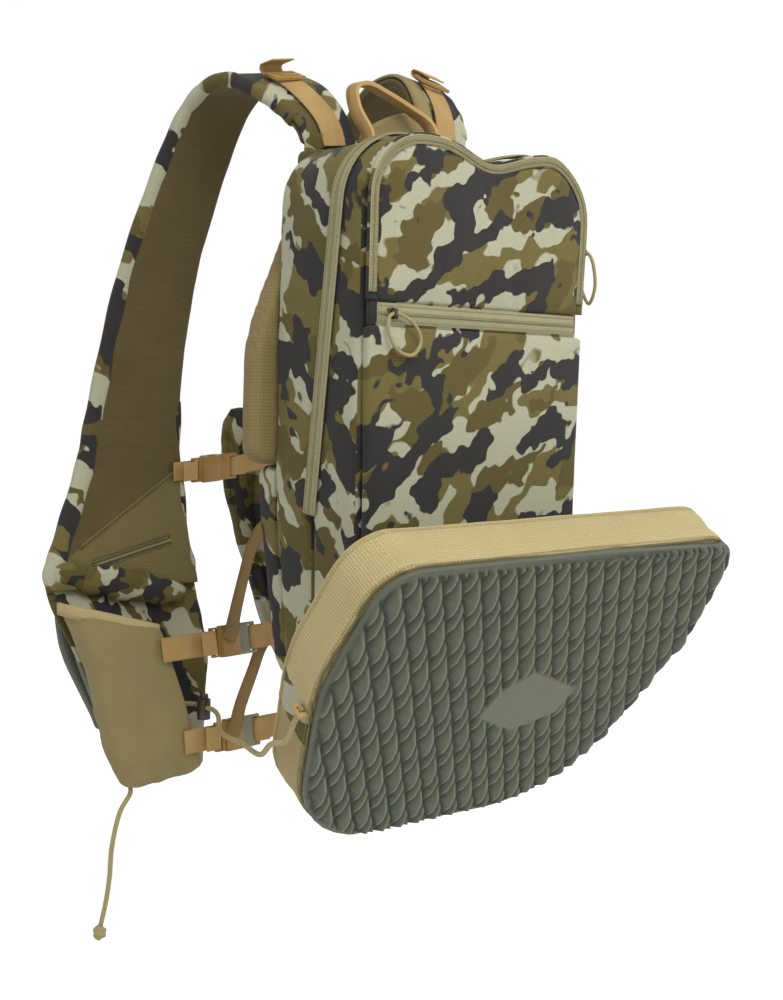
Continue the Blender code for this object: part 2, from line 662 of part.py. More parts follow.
hinge_loop("seat_hinge_loop_left", -LOOP_OFFSET)
hinge_loop("seat_hinge_loop_right", LOOP_OFFSET)


# Straps and vest: layers on a line that runs over the shoulder and down the chest
def strap_stations(side):
    """Stations of one strap: its inner edge, its outer edge and the outward normal."""
    rows = smooth_line(STRAP_LINE if side < 0 else STRAP_LINE_RIGHT, STRAP_STEPS)
    last = len(rows) - 1
    stations = []
    for i, (y, z, outer, inner, droop) in enumerate(rows):
        ahead, back = rows[min(i + 1, last)], rows[max(i - 1, 0)]
        along = Vector((0.0, ahead[0] - back[0], ahead[1] - back[1])).normalized()
        out = Vector((0.0, -along.z, along.y))
        near = Vector((side * inner, y, z))
        far = Vector((side * outer, y, z)) - out * droop
        normal = along.cross(far - near).normalized()
        stations.append((near, far, normal if normal.dot(out) > 0.0 else -normal))
    return stations


STATIONS = {-1: strap_stations(-1), 1: strap_stations(1)}


def lift(side):
    return RIGHT_LIFT if side > 0 else 0.0


def swing(side, height):
    """Distance by which the right half of the vest hangs outwards at a height."""
    return RIGHT_SWING * max(SWING_TOP + RIGHT_LIFT - height, 0.0) if side > 0 else 0.0


def index_at(side, height):
    """First station on the chest side that lies at or below a height."""
    stations = STATIONS[side]
    peak = max(range(len(stations)), key=lambda i: stations[i][0].z)
    return next((i for i in range(peak, len(stations)) if stations[i][0].z <= height), len(stations) - 1)


def line_depth(side, height):
    """Depth of the line at a height on the chest side."""
    k = index_at(side, height)
    low, high = STATIONS[side][k][0], STATIONS[side][k - 1][0]
    return low.y + (high.y - low.y) * (height - low.z) / (high.z - low.z)


def layer(name, rows, low, high, edge, look, ends=1.0):
    """A padded layer over stations, between two heights above the line."""
    rings = []
    last = len(rows) - 1
    step = edge if high > low else -edge
    for i, (near, far, normal) in enumerate(rows):
        full = high if 0 < i < last else low + (high - low) * ends
        across = (far - near).normalized() * edge
        section = ((far, low), (far, full - step), (far - across, full), (near + across, full),
                   (near, full - step), (near, low))
        rings.append([point + normal * height for point, height in section])
    return loft(name, rings, look, FRAME)


def edged(side, first, last, table):
    """Stations between two heights, with edges from a table of heights and edges."""
    made = []
    up = lift(side)
    for near, far, normal in STATIONS[side][index_at(side, first + up):index_at(side, last + up) + 1]:
        height = near.z - up
        k = next((i for i in range(1, len(table)) if table[i][0] <= height), len(table) - 1)
        high, low = table[k - 1], table[k]
        t = min(max((height - low[0]) / (high[0] - low[0]), 0.0), 1.0)
        outer, inner = (low[n] + (high[n] - low[n]) * t + swing(side, near.z) for n in (1, 2))
        made.append((Vector((side * inner, near.y, near.z)), Vector((side * outer, far.y, far.z)), normal))
    return made


def trimmed(rows, amount):
    """Stations with the first one moved along the line by a small amount."""
    (near, far, normal), (near2, far2, _) = rows[0], rows[1]
    t = amount / (near2 - near).length
    return [(near.lerp(near2, t), far.lerp(far2, t), normal)] + list(rows[1:])


def pouch_ring(side, row, shrink, rise):
    """One level of the pouch: a rounded box section against the panel."""
    height, depth, outer, inner, tilt = row
    y_back = line_depth(side, height + lift(side)) - POUCH_STAND
    shift = swing(side, height + lift(side))
    a = (outer - inner) / 2 - shrink
    b = depth / 2 - shrink
    ring = []
    for k in range(POUCH_SIDES):
        angle = 2 * math.pi * (k + 0.5) / POUCH_SIDES
        u = math.copysign(abs(math.cos(angle)) ** 0.5, math.cos(angle))
        v = math.copysign(abs(math.sin(angle)) ** 0.5, math.sin(angle))
        x = (outer + inner) / 2 + shift + a * u
        z = height + rise + lift(side) + tilt * a * u
        ring.append((side * x, y_back - depth / 2 + b * v, z))
    return ring


def pouch_front(side, x, height):
    """Depth of the wearer's side of the pouch at a place."""
    base = height - lift(side)
    k = next(i for i in range(1, len(POUCH_ROWS)) if POUCH_ROWS[i][0] >= base)
    low, high = POUCH_ROWS[k - 1], POUCH_ROWS[k]
    t = (base - low[0]) / (high[0] - low[0])
    depth, outer, inner = (low[n] + (high[n] - low[n]) * t for n in (1, 2, 3))
    u = min(abs(abs(x) - swing(side, height) - (outer + inner) / 2) / ((outer - inner) / 2), 1.0)
    bulge = (1.0 - u ** 4) ** 0.25
    return line_depth(side, height) - POUCH_STAND - depth / 2 - depth / 2 * bulge


for word, side in (("left", -1), ("right", 1)):
    stations = STATIONS[side]
    up = lift(side)
    seam = index_at(side, SEAM_HEIGHT + up)
    lining_end = index_at(side, LINING_BOTTOM + up)
    layer("strap_shell_" + word, stations[:seam + 1], GAP / 2, SHELL_DEPTH, 0.003, CAMO)
    layer("strap_lining_" + word, stations[1:lining_end + 1], -GAP / 2, -LINING_DEPTH, 0.003, BROWN)
    layer("vest_panel_" + word, trimmed(stations[seam:], GAP), GAP / 2, SHELL_DEPTH, 0.002, CAMO)

    # Outer pocket and moulded call pocket on the chest side of the panel
    height = SHELL_DEPTH + GAP
    edges = OUTER_POCKET_EDGES if side < 0 else OUTER_POCKET_EDGES_RIGHT
    layer("outer_pocket_" + word, edged(side, edges[0][0], edges[-1][0], edges), height,
          height + OUTER_POCKET_DEPTH, 0.006, CAMO, 0.55)
    height += OUTER_POCKET_DEPTH + GAP
    layer("call_pocket_" + word, edged(side, 0.212, -0.058, CALL_POCKET_EDGES), height,
          height + CALL_POCKET_DEPTH, 0.005, MOULDED, 0.55)

    # Open pouch on the wearer's side of the panel
    rings = [pouch_ring(side, row, 0.0, 0.0) for row in POUCH_ROWS]
    rings += [pouch_ring(side, row, POUCH_WALL, 0.0) for row in reversed(POUCH_ROWS[2:])]
    rings.append(pouch_ring(side, POUCH_ROWS[1], POUCH_WALL, POUCH_WALL))
    loft("pouch_" + word, rings, POUCH, FRAME)

    # Lifter webbing along the top of the strap, folded back over its buckle
    height = SHELL_DEPTH + LIFTER_STAND + WEB / 2
    row = stations[1:LIFTER_END + 1]
    line = [(near + far) / 2 + normal * height for near, far, normal in row]
    across = [tuple((far - near).normalized()) for near, far, normal in row]
    normal = row[-1][2]
    along = (line[-1] - line[-2]).normalized()
    tip = line[-1]
    line += [tip + along * x + normal * h for x, h in LIFTER_FOLD[side]]
    across += [across[-1]] * 5
    web("lifter_webbing_" + word, line, across, LIFTER_WIDTH, WEB, WEBBING, FRAME)
    side_axis = normal.cross(along).normalized()
    turn = Matrix((along, side_axis, along.cross(side_axis))).transposed()
    place = tip - along * 0.016 + normal * (WEB / 2 + GAP)
    hold = empty("lifter_place_" + word, place, turn.to_euler(), FRAME)
    half = LIFTER_WIDTH / 2 + BUCKLE_MARGIN
    plate = box("lifter_buckle_" + word, (-0.0105, -half, 0.0), (0.0105, half, 0.0034), PLASTIC, hold)
    for x in (-0.0055, 0.0035):
        cut(plate, box("lifter_slot_" + word, (x - 0.0012, -half + 0.0035, -0.001),
                       (x + 0.0032, half - 0.0035, 0.005), PLASTIC, hold))


# Closures between the two halves of the vest, each a webbing and a side-release buckle
def bar_loop(sign, edge, far, depth, reach):
    """Webbing from its far end over a buckle bar, round its edge and part of the way back."""
    off = depth / 2 + 0.0006 + WEB / 2
    turn = ((edge + sign * 0.0005, off), (edge - sign * 0.0013, off * 0.88), (edge - sign * 0.0021, off * 0.55))
    steps = [(far, off), ((far + edge) / 2, off)] + list(turn)
    steps += [(x, -y) for x, y in reversed(turn)] + [(edge + sign * reach, -off)]
    return [(x, y, 0.0) for x, y in steps]


def closure(name, left, right, split, width, tilt):
    """A webbing from left to right, with its buckle mating at a share of the way."""
    start, end = Vector(left), Vector(right)
    along = (end - start).normalized()
    up = Vector((0.0, tilt, 1.0))
    up = (up - along * up.dot(along)).normalized()
    turn = Matrix((along, up.cross(along), up)).transposed()
    middle = start + (end - start) * split
    hold = empty(name + "_place", middle, turn.to_euler(), FRAME)
    half = width / 2 + BUCKLE_MARGIN
    t = FEMALE_DEPTH / 2
    p = MALE_DEPTH / 2
    slot = width / 2 + 0.0008

    # Female half: a hollow body and a tail plate with a slot behind its bar
    female = box(name + "_female", (-0.0215, -t, -half), (0.0, t, half), PLASTIC, hold)
    join(female, box(name + "_plate", (-0.0340, -p, -half + 0.001), (-0.0200, p, half - 0.001), PLASTIC, hold))
    cut(female, box(name + "_hollow", (-0.0190, -p - 0.0004, -half + 0.0028),
                    (0.0010, p + 0.0004, half - 0.0028), PLASTIC, hold))
    cut(female, box(name + "_window", (-0.0140, -p - 0.0004, -half - 0.001),
                    (-0.0060, p + 0.0004, half + 0.001), PLASTIC, hold))
    cut(female, box(name + "_slot", (-0.0300, -t, -slot), (-0.0258, t, slot), PLASTIC, hold))

    # Male half: a plate with two arms and a guide
    arm = half - 0.0032
    outline = [(0.0220, -half), (0.0220, half), (0.0004, half), (0.0004, arm), (-0.0165, arm),
               (-0.0183, arm - 0.0015), (-0.0183, arm - 0.0030), (0.0004, arm - 0.0040), (0.0004, 0.0030),
               (-0.0165, 0.0020)]
    outline += [(x, -z) for x, z in reversed(outline[2:])]
    bm = bmesh.new()
    face = bm.faces.new([bm.verts.new((x, -p, z)) for x, z in outline])
    grown = bmesh.ops.extrude_face_region(bm, geom=[face])
    moved = [g for g in grown["geom"] if isinstance(g, bmesh.types.BMVert)]
    bmesh.ops.translate(bm, verts=moved, vec=(0.0, 2 * p, 0.0))
    male = add(name + "_male", bm, PLASTIC, hold)
    cut(male, box(name + "_eye", (0.0135, -t, -slot), (0.0177, t, slot), PLASTIC, hold))

    # Webbings from the vest to the bars
    far_left = -(middle - start).length
    far_right = (end - middle).length
    line = bar_loop(-1.0, -0.0300, far_left, MALE_DEPTH, min(0.016, -far_left - 0.034))
    web(name + "_web_left", line, (0.0, 0.0, 1.0), width, WEB, WEBBING, hold)
    line = bar_loop(1.0, 0.0177, far_right, MALE_DEPTH, 0.016)
    web(name + "_web_right", line, (0.0, 0.0, 1.0), width, WEB, WEBBING, hold)
    return hold


def web_seat(side, x, height, width, on_pouch, tilt):
    """Depth at which a tilted webbing end lies clear on the vest, over its whole sewn patch."""
    depths = []
    for dx in (0.0, 0.008, 0.016):
        for dz in (-width / 2, 0.0, width / 2):
            if on_pouch:
                depth = pouch_front(side, x - dx, height + dz)
            else:
                depth = line_depth(side, height + dz) - LINING_DEPTH - 0.0004
            depths.append(depth - tilt * dz)
    return min(depths) - MALE_DEPTH / 2 - 0.0006 - WEB - GAP


def vest_closure(name, x, height, mate, width, on_pouch, tilt):
    """A closure between the two halves of the vest, whose buckle mates at one X."""
    places = []
    for side in (-1, 1):
        z = height + lift(side)
        reach = x + swing(side, z)
        places.append((side * reach, web_seat(side, reach, z, width, on_pouch, tilt), z))
    split = (mate - places[0][0]) / (places[1][0] - places[0][0])
    return closure(name, places[0], places[1], split, width, tilt)


vest_closure("sternum", 0.064, 0.188, -0.010, STERNUM_WIDTH, False, -0.13)
vest_closure("waist", 0.112, 0.012, -0.022, WAIST_WIDTH, True, 0.18)
vest_closure("hip", 0.090, -0.084, -0.022, WAIST_WIDTH, True, 0.05)

# Loose ends of the waist and hip webbing, drawn up to the right half of the vest
WAIST_TAIL_SIDES = [(0.78, -0.06, -0.62), (0.75, 0.20, -0.60), (0.35, -0.02, -0.93)]
WAIST_TAIL_LINE = smooth_line((
    (-0.0385, 0.1697, 0.0175), (-0.0325, 0.1718, 0.030), (-0.026, 0.1755, 0.047), (-0.005, 0.192, 0.080),
    (0.022, 0.2165, 0.107), (0.046, 0.2335, 0.123), (0.064, 0.2363, 0.130)), 3)
web("waist_tail", WAIST_TAIL_LINE, WAIST_TAIL_SIDES, 0.018, WEB, TAIL, FRAME)
HIP_TAIL_SIDES = [(0.78, -0.03, -0.62), (0.75, 0.20, -0.60), (0.35, -0.17, -0.92)]
HIP_TAIL_LINE = smooth_line((
    (-0.0385, 0.1598, -0.079), (-0.0325, 0.1604, -0.066), (-0.026, 0.1634, -0.050), (0.002, 0.182, -0.020),
    (0.030, 0.204, 0.004), (0.060, 0.2205, 0.016), (0.088, 0.2256, 0.022)), 3)
web("hip_tail", HIP_TAIL_LINE, HIP_TAIL_SIDES, 0.018, WEB, TAIL, FRAME)

# Cord lock of the seat cord
lock = Vector(LOCK_PLACE)
body = barrel("cord_lock_body", lock + Vector((0, 0, -0.0125)), lock + Vector((0, 0, 0.0085)), 0.0070, DARK, FRAME)
cut(body, barrel("cord_lock_well", lock + Vector((0, 0, -0.0105)), lock + Vector((0, 0, 0.010)),
                 0.0048, DARK, FRAME))
cut(body, barrel("cord_lock_bore", lock + Vector((0, -0.010, 0)), lock + Vector((0, 0.010, 0)),
                 CORD_RADIUS + 0.0004, DARK, FRAME))
button = barrel("cord_lock_button", lock + Vector((0, 0, -0.0055)), lock + Vector((0, 0, 0.0135)), 0.0045,
                DARK, FRAME, 16, lock)
cut(button, box("cord_lock_eye", lock + Vector((-0.0029, -0.006, -0.0029)),
                lock + Vector((0.0029, 0.006, 0.0049)), DARK, FRAME))
coil = []
for k in range(43):
    angle = 2 * math.pi * k / 14
    coil.append(lock + Vector((0.0034 * math.cos(angle), 0.0034 * math.sin(angle), -0.0097 + 0.0034 * k / 42)))
spring = cord("cord_lock_spring", coil, 0.0004, STEEL, FRAME)
spring.data.bevel_resolution = 0

# Seat cord from the lock to a tab on the side of the seat
def edge_at(outline, height):
    """Lowest X of an outline at a height."""
    found = []
    for a, b in zip(outline, outline[1:] + outline[:1]):
        if (a.y - height) * (b.y - height) < 0.0:
            found.append(a.x + (b.x - a.x) * (height - a.y) / (b.y - a.y))
    return min(found)


tab_place = Vector((edge_at(seat_outline, TAB_HEIGHT) - 2 * GAP, -SEAT_BACK - TAB_DEPTH, TAB_HEIGHT))
tab = box("seat_cord_tab", tab_place + Vector((-0.0075, -0.0065, -0.0016)),
          tab_place + Vector((0.0, 0.0065, 0.0016)), WEBBING, SEAT)
cut(tab, box("seat_cord_tab_eye", tab_place + Vector((-0.0062, -0.0032, -0.002)),
             tab_place + Vector((-0.0002, 0.0032, 0.002)), WEBBING, SEAT))
tilt = Matrix.Rotation(math.radians(SEAT_LEAN), 3, "X")
hook = axis + tilt @ (tab_place + Vector((-0.0032, 0.0, 0.0)))
SEAT_CORD_LINE = [lock + Vector((x, 0.026, 0.0)) for x in (-0.0126, -0.0070)]
SEAT_CORD_LINE += [lock + Vector((0.0, y, 0.0)) for y in (0.018, 0.010, 0.003, -0.003, -0.010, -0.016)]
SEAT_CORD_LINE += [lock + Vector((-0.004, -0.032, -0.003)), Vector((-0.086, 0.110, -0.063))]
SEAT_CORD_LINE += [Vector((-0.130, 0.010, -0.050)), Vector((-0.176, -0.080, -0.036))]
SEAT_CORD_LINE += [hook + Vector((-0.003, 0.034, -0.033)), hook + Vector((-0.002, 0.016, -0.027))]
SEAT_CORD_LINE += [hook + tilt @ Vector((0.0, 0.0, z)) for z in (-0.012, -0.006, 0.0, 0.0035)]
cord("seat_cord", smooth_line([tuple(p) for p in SEAT_CORD_LINE], 5), CORD_RADIUS, CORD, FRAME)

# Cord with a knot, hanging from the left pouch
POUCH_CORD_LINE = ((-0.1400, 0.1912, -0.1282), (-0.1412, 0.1912, -0.1350), (-0.1530, 0.1905, -0.152),
                   (-0.1620, 0.189, -0.184), (-0.165, 0.188, -0.215), (-0.169, 0.188, -0.240),
                   (-0.1745, 0.188, -0.262))
cord("pouch_cord", smooth_line(POUCH_CORD_LINE, 4), CORD_RADIUS, CORD, FRAME)
bm = bmesh.new()
bmesh.ops.create_uvsphere(bm, u_segments=12, v_segments=8, radius=0.0055)
bmesh.ops.scale(bm, verts=bm.verts, vec=(1.0, 1.0, 1.35))
bmesh.ops.translate(bm, verts=bm.verts, vec=Vector(POUCH_CORD_LINE[-1]) + Vector((-0.0008, 0.0, -0.0078)))
add("pouch_cord_knot", bm, CORD, FRAME)
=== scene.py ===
# %% [markdown]
# # A vest pack with a fold-out seat
# The CAD model fixes every body, joint and size of this pack. The script dresses that frame: it
# swells the bags, weaves the webbing, zips the pockets and sews the seat. It loads the frame first
# and keeps its box, because a dressed part must not outgrow its own solids.

# %% Load the frame
import math

import bmesh
import bpy
from mathutils import Matrix, Vector, noise
from mathutils.bvhtree import BVHTree
from mathutils.kdtree import KDTree


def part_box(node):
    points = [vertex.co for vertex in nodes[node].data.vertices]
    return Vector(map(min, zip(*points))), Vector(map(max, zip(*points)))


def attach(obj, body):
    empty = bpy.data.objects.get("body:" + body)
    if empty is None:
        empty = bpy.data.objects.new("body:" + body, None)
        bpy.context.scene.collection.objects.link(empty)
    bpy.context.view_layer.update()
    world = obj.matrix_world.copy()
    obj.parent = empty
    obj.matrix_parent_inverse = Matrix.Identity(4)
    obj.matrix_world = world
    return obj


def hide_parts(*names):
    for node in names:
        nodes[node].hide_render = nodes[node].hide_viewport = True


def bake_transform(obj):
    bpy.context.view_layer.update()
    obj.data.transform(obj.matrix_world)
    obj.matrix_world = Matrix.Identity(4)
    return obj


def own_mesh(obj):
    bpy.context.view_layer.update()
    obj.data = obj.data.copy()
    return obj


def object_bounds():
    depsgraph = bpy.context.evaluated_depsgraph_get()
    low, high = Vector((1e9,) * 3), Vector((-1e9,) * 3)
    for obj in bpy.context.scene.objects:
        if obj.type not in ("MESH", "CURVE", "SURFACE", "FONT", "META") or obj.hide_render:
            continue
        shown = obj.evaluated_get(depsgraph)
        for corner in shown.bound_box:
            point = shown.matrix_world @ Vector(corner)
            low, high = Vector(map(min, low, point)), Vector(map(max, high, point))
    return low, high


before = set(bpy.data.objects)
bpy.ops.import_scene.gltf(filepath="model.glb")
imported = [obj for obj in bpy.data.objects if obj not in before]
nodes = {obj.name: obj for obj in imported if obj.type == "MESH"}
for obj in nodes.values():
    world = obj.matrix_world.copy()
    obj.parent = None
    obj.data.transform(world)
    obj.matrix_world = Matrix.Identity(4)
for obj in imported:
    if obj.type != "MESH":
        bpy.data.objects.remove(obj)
cad_low, cad_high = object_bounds()
print("frame of", len(nodes), "nodes, box", [round(b - a, 3) for a, b in zip(cad_low, cad_high)])

# %% [markdown]
# ## Camera
# The picture was taken from the front left, almost level with the middle of the bag, with the
# camera turned a little about its own axis. A camera is a matrix of three directions and a place:
# what points right in the picture, what points up, and what points back at the photographer.

# %% Place the camera
azimuth, rise, roll = (math.radians(a) for a in (-40.5, 3.9, 1.411))
back = Vector((math.sin(azimuth) * math.cos(rise), -math.cos(azimuth) * math.cos(rise), math.sin(rise)))
right = Vector((math.cos(azimuth), math.sin(azimuth), 0.0))
up = back.cross(right)
level = right * math.cos(roll) + up * math.sin(roll)
upright = up * math.cos(roll) - right * math.sin(roll)
camera = bpy.data.objects.new("studio_camera", bpy.data.cameras.new("studio_camera"))
bpy.context.scene.collection.objects.link(camera)
camera.data.lens = 55.8
camera.matrix_world = Matrix((level, upright, back)).transposed().to_4x4()
camera.location = (-0.9471, -1.1488, -0.0544)
bpy.context.scene.camera = camera
print("camera looks along", [round(-c, 3) for c in back])

# %% [markdown]
# ## Light and floor
# A white sweep with soft light on all sides keeps cloth colours as they are written. The world
# gives most of the light, one broad lamp models the forms, and a weaker one lifts the shade. The
# camera sees plain white behind the pack through the Light Path node, with no extra light on it.

# %% Light the studio
scene = bpy.context.scene
scene.view_settings.view_transform = "Standard"
world = bpy.data.worlds.new("studio_air")
scene.world = world
world.use_nodes = True
air = world.node_tree
air.nodes.clear()


def background_rays(tree):
    """1 for the rays that should meet plain white: seen, mirrored or through glass."""
    path = tree.nodes.new("ShaderNodeLightPath")
    found = path.outputs["Is Camera Ray"]
    for name in ("Is Glossy Ray", "Is Transmission Ray"):
        more = tree.nodes.new("ShaderNodeMath")
        more.operation = "MAXIMUM"
        tree.links.new(found, more.inputs[0])
        tree.links.new(path.outputs[name], more.inputs[1])
        found = more.outputs[0]
    return found


strength = air.nodes.new("ShaderNodeMapRange")
strength.inputs["To Min"].default_value = 0.52
strength.inputs["To Max"].default_value = 1.0
air.links.new(background_rays(air), strength.inputs["Value"])
glow = air.nodes.new("ShaderNodeBackground")
glow.inputs["Color"].default_value = (1.0, 1.0, 1.0, 1.0)
air.links.new(strength.outputs[0], glow.inputs["Strength"])
out = air.nodes.new("ShaderNodeOutputWorld")
air.links.new(glow.outputs[0], out.inputs["Surface"])


def lamp(name, place, aim, size, watts):
    """A square soft box that points at a spot."""
    data = bpy.data.lights.new(name, "AREA")
    data.size = size
    data.energy = watts
    item = bpy.data.objects.new(name, data)
    item.location = place
    item.rotation_euler = (Vector(aim) - Vector(place)).to_track_quat("-Z", "Y").to_euler()
    scene.collection.objects.link(item)


lamp("soft_box_key", (-0.7, -1.9, 2.0), (0.0, -0.05, -0.05), 1.5, 40.0)
lamp("soft_box_fill", (1.9, -1.3, 0.6), (0.0, -0.05, -0.1), 1.6, 13.0)

bm = bmesh.new()
bmesh.ops.create_grid(bm, x_segments=1, y_segments=1, size=6.0)
bmesh.ops.translate(bm, verts=bm.verts, vec=(0.0, 0.0, cad_low.z - 0.012))
sweep_mesh = bpy.data.meshes.new("studio_floor")
bm.to_mesh(sweep_mesh)
bm.free()
floor = bpy.data.objects.new("studio_floor", sweep_mesh)
scene.collection.objects.link(floor)
paper = bpy.data.materials.new("white_paper")
paper.use_nodes = True
paper_shader = paper.node_tree.nodes["Principled BSDF"]
paper_shader.inputs["Base Color"].default_value = (0.86, 0.86, 0.86, 1.0)
paper_shader.inputs["Roughness"].default_value = 0.95
lift = paper.node_tree.nodes.new("ShaderNodeMath")
lift.operation = "MULTIPLY"
lift.inputs[1].default_value = 0.60
paper.node_tree.links.new(background_rays(paper.node_tree), lift.inputs[0])
paper_shader.inputs["Emission Color"].default_value = (1.0, 1.0, 1.0, 1.0)
paper.node_tree.links.new(lift.outputs[0], paper_shader.inputs["Emission Strength"])
floor.data.materials.append(paper)
print("floor at", round(cad_low.z - 0.012, 3))

# %% [markdown]
# ## Tools for making pieces
# Two helpers do most of the work. `link` puts a finished bmesh into the scene. `swept` draws a
# closed section along a line: it makes one ring of edges and extrudes it from station to station,
# which is how webbing, tape, piping and cord are all made. Each vertex keeps how far along and how
# far across it lies, so that a weave can follow the strip round its bends.


# %% Link a mesh and sweep a section
def link(name, bm, looks, smooth=True):
    """The bmesh as a shown object with its materials."""
    mesh = bpy.data.meshes.new(name)
    for face in bm.faces:
        face.smooth = smooth
    bm.to_mesh(mesh)
    bm.free()
    for look in looks if isinstance(looks, (list, tuple)) else [looks]:
        mesh.materials.append(look)
    item = bpy.data.objects.new(name, mesh)
    scene.collection.objects.link(item)
    return item


def curve_through(points, steps, closed=False):
    """A smooth line through a few chosen points."""
    points = [Vector(p) for p in points]
    count = len(points)
    line = []
    for i in range(count if closed else count - 1):
        if closed:
            a, b, c, d = (points[(i + k - 1) % count] for k in range(4))
        else:
            b, c = points[i], points[i + 1]
            a = points[i - 1] if i else b * 2 - c
            d = points[i + 2] if i + 2 < count else c * 2 - b
        for k in range(steps):
            t = k / steps
            line.append(0.5 * (2 * b + (c - a) * t + (2 * a - 5 * b + 4 * c - d) * t * t
                               + (3 * b - a - 3 * c + d) * t ** 3))
    return line if closed else line + [points[-1]]


def even(line, pitch):
    """The same line with points at an even pitch."""
    made = [line[0].copy()]
    spare = 0.0
    for a, b in zip(line, line[1:]):
        length = (b - a).length
        while spare + length >= pitch and length > 1e-9:
            t = (pitch - spare) / length
            a = a.lerp(b, t)
            made.append(a.copy())
            length = (b - a).length
            spare = 0.0
        spare += length
    return made


def frames_along(line, ups, closed=False):
    """Direction, up and side at each point; a single up vector is carried along the line."""
    last = len(line) - 1
    made = []
    up_now = Vector(ups) if not isinstance(ups, list) else None
    for i in range(len(line)):
        if closed:
            along = line[(i + 1) % len(line)] - line[i - 1]
        else:
            along = line[min(i + 1, last)] - line[max(i - 1, 0)]
        along.normalize()
        wish = ups[i] if isinstance(ups, list) else up_now
        rise_now = (wish - along * wish.dot(along)).normalized()
        if up_now is not None:
            up_now = rise_now
        made.append((along, rise_now, along.cross(rise_now)))
    return made


def swept(section, line, ups, closed=False, swell=None):
    """A bmesh of a closed section drawn along a line. Section points are (across, up)."""
    bm = bmesh.new()
    far = bm.verts.layers.float.new("along")
    wide = bm.verts.layers.float.new("across")
    stations = frames_along(line, ups, closed)
    distance = 0.0
    ring = [bm.verts.new() for _ in section]
    first = ring
    edges = [bm.edges.new((ring[k - 1], ring[k])) for k in range(len(ring))]
    for i, (_, rise_now, side) in enumerate(stations):
        if i:
            distance += (line[i] - line[i - 1]).length
            made = bmesh.ops.extrude_edge_only(bm, edges=edges)["geom"]
            fresh = {g for g in made if isinstance(g, bmesh.types.BMVert)}
            ring = [next(e.other_vert(v) for e in v.link_edges if e.other_vert(v) in fresh) for v in ring]
            edges = [bm.edges.get((ring[k - 1], ring[k])) for k in range(len(ring))]
        scale = swell(i) if swell else 1.0
        wider, higher = scale if isinstance(scale, tuple) else (scale, scale)
        for v, (across, height) in zip(ring, section):
            v.co = line[i] + side * across * wider + rise_now * height * higher
            v[far] = distance
            v[wide] = across
    if closed:
        start = [bm.edges.get((first[k - 1], first[k])) for k in range(len(first))]
        bmesh.ops.bridge_loops(bm, edges=edges + start)
    else:
        bmesh.ops.contextual_create(bm, geom=first)
        bmesh.ops.contextual_create(bm, geom=ring)
    bmesh.ops.recalc_face_normals(bm, faces=bm.faces)
    return bm


def round_section(radius, sides=10):
    """A circle as a section."""
    return [(radius * math.cos(2 * math.pi * k / sides), radius * math.sin(2 * math.pi * k / sides))
            for k in range(sides)]


def strip_section(width, thick, edge=0.0005):
    """A flat strip with softened edges as a section."""
    w, t = width / 2, thick / 2
    return [(-w, -t + edge), (-w + edge, -t), (0.0, -t), (w - edge, -t), (w, -t + edge), (w, t - edge),
            (w - edge, t), (0.0, t), (-w + edge, t), (-w, t - edge)]


print("helpers ready")

# %% [markdown]
# ## Finishes
# Each finish is a small node tree on the Principled shader. Patterns read Object coordinates, in
# metres, so that a 2 mm weave is 2 mm on every piece; strips read their own `along` and `across`.
# A helper keeps the trees short: a value that is a socket is linked, any other is set.


# %% Node helpers
def finish(name, rough, metal=0.0, sheen=0.0):
    """A new material with its tree and shader."""
    look = bpy.data.materials.new(name)
    look.use_nodes = True
    shader = look.node_tree.nodes["Principled BSDF"]
    shader.inputs["Roughness"].default_value = rough
    shader.inputs["Metallic"].default_value = metal
    shader.inputs["Sheen Weight"].default_value = sheen
    shader.inputs["Specular IOR Level"].default_value = 0.25
    return look, look.node_tree, shader


def add(tree, kind, values=None, **settings):
    """One node with its settings, its values and its links."""
    made = tree.nodes.new("ShaderNode" + kind)
    for key, value in settings.items():
        setattr(made, key, value)
    for key, value in (values or {}).items():
        if isinstance(value, bpy.types.NodeSocket):
            tree.links.new(value, made.inputs[key])
        else:
            made.inputs[key].default_value = value
    return made.outputs


def maths(tree, operation, a, b=0.0, c=0.0):
    return add(tree, "Math", {0: a, 1: b, 2: c}, operation=operation)[0]


def between(tree, value, low, high, to_low=0.0, to_high=1.0):
    """A value taken from one range to another, clamped."""
    return add(tree, "MapRange", {"Value": value, "From Min": low, "From Max": high,
                                  "To Min": to_low, "To Max": to_high})[0]


def tint(tree, share, a, b):
    """One colour shading into another."""
    made = add(tree, "Mix", {0: share, 6: a, 7: b}, data_type="RGBA")
    return made[2]


def srgb(r, g, b):
    """A colour as a shader wants it, from the numbers a colour picker shows."""
    made = [c / 255 for c in (r, g, b)]
    return (*[c / 12.92 if c <= 0.04045 else ((c + 0.055) / 1.055) ** 2.4 for c in made], 1.0)


def spot(tree, scale=(1.0, 1.0, 1.0), turn=(0.0, 0.0, 0.0), shift=(0.0, 0.0, 0.0)):
    """Object coordinates through a Mapping node."""
    place = add(tree, "TexCoord")["Object"]
    return add(tree, "Mapping", {"Vector": place, "Location": shift, "Rotation": turn, "Scale": scale})[0]


def lattice(tree, place, pitch):
    """A lattice of dots, from -1 to 1, that shows on any face of a solid."""
    axes = add(tree, "SeparateXYZ", {0: place})
    waves = [maths(tree, "SINE", maths(tree, "MULTIPLY", axes[k], 2 * math.pi / pitch)) for k in range(3)]
    return maths(tree, "DIVIDE", maths(tree, "ADD", maths(tree, "ADD", waves[0], waves[1]), waves[2]), 3.0)


def relief(tree, shader, height, depth, strength=1.0):
    """A bump on the shader's normal, its depth in metres."""
    bump = add(tree, "Bump", {"Height": height, "Distance": depth, "Strength": strength})
    tree.links.new(bump[0], shader.inputs["Normal"])


print("node helpers ready")

